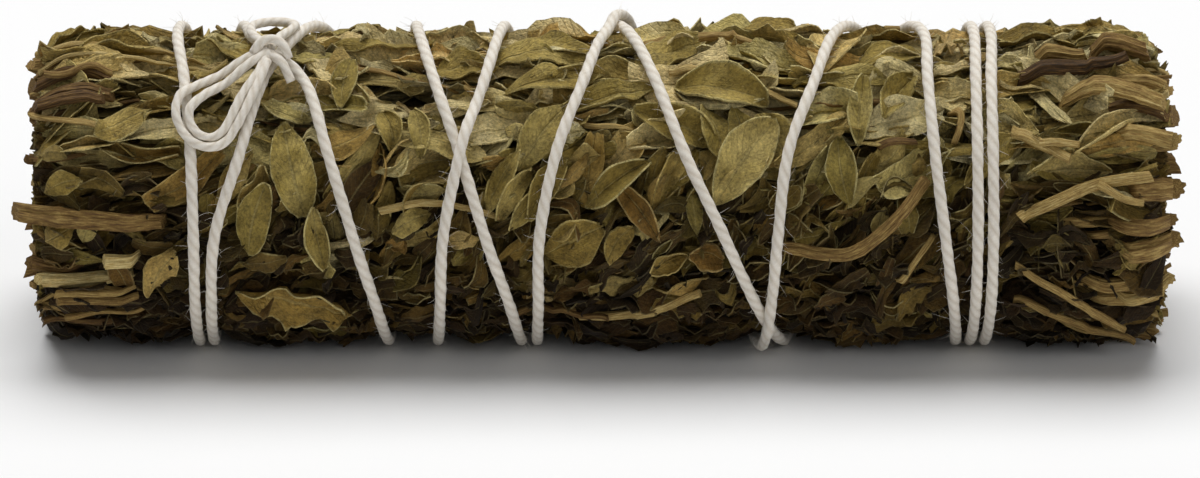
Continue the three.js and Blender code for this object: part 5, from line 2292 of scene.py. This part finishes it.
@dataclass
class Studio:
    """The pale table, the soft lights and the camera.

    Attributes:
        bunch: The bunch's frame.
        distance: From the bunch to the camera.
        elevation: How far the camera looks down, in degrees.
        lens: Its focal length.
        aim_below_axis: How far under the bunch's axis it aims.
        table_size: Side of the table top, in metres.
        surroundings: Strength of the light from all round.
    """

    bunch: BunchFrame
    distance: float = 900.0
    elevation: float = 20.0
    lens: float = 216.0
    aim_below_axis: float = 7.0
    table_size: float = 8.0
    surroundings: float = 0.15

    def build(self) -> None:
        """Makes the table, the lights and the camera."""
        self.table()
        self.world()
        self.light("key", (-0.1, 0.4, 1.5), 1.3, 26.0)
        self.light("front_fill", (0.2, -1.2, 0.9), 0.8, 1.6)
        self.light("right_fill", (1.1, -0.5, 0.5), 0.5, 2.4)
        self.camera()

    def table(self) -> None:
        """Makes a wide pale table top."""
        deselect_all()
        bpy.ops.mesh.primitive_plane_add(size=self.table_size, location=(0.0, 0.0, 0.0))
        table = bpy.context.object
        table.name = "table"
        material, board, shader = new_material("pale_table")
        place = board.add("ShaderNodeTexCoord").outputs["Object"]
        cloud = board.noise(place, 3.0, 2.0, 0.5)
        colour = board.mix(cloud, linear(243, 243, 243), linear(249, 249, 249))
        board.feed(shader.inputs["Base Color"], colour)
        shader.inputs["Roughness"].default_value = 0.6
        shader.inputs["Specular IOR Level"].default_value = 0.2
        table.data.materials.append(material)
        table.select_set(False)

    def world(self) -> None:
        """Surrounds the table with plain white light."""
        world = bpy.data.worlds.new("studio")
        bpy.context.scene.world = world
        world.use_nodes = True
        background = world.node_tree.nodes["Background"]
        background.inputs[0].default_value = (1.0, 1.0, 1.0, 1.0)
        background.inputs[1].default_value = self.surroundings
        bpy.context.scene.view_settings.view_transform = "Standard"

    def light(self, name: str, place: Row, size: float, power: float) -> None:
        """Hangs a soft square light that faces the bunch.

        Args:
            name: Its name.
            place: Where it hangs, in metres.
            size: Length of its side.
            power: Its power in watts.
        """
        data = bpy.data.lights.new(name, "AREA")
        data.size = size
        data.energy = power
        light = bpy.data.objects.new(name, data)
        light.location = place
        aim = Vector((0.0, 0.0, self.bunch.axis_z * MM)) - Vector(place)
        light.rotation_euler = aim.to_track_quat("-Z", "Y").to_euler()
        bpy.context.scene.collection.objects.link(light)

    def camera(self) -> None:
        """Sets the camera a little above the bunch, square to its length."""
        lean = math.radians(self.elevation)
        up = Vector((0.0, math.sin(lean), math.cos(lean)))
        axis = Vector((self.bunch.middle_x, self.bunch.axis_y, self.bunch.axis_z))
        aim = axis - up * self.aim_below_axis
        back = Vector((0.0, -math.cos(lean), math.sin(lean)))
        data = bpy.data.cameras.new("camera")
        data.lens = self.lens
        data.sensor_width = 36.0
        data.clip_start = 0.05
        data.clip_end = 20.0
        camera = bpy.data.objects.new("camera", data)
        camera.location = (aim + back * self.distance) * MM
        camera.rotation_euler = (-back).to_track_quat("-Z", "Y").to_euler()
        bpy.context.scene.collection.objects.link(camera)
        bpy.context.scene.camera = camera


def main() -> None:
    logging.basicConfig(level=logging.INFO, format="%(name)s: %(message)s")
    bunch = BunchFrame.from_core()
    Studio(bunch).build()
    finishes = Finishes.make()
    route = StringRoute(bunch)
    SageBunch(bunch, LeafBed(bunch, route), finishes).build()
    BindingString(bunch, route, finishes).build()


if __name__ == "__main__":
    main()
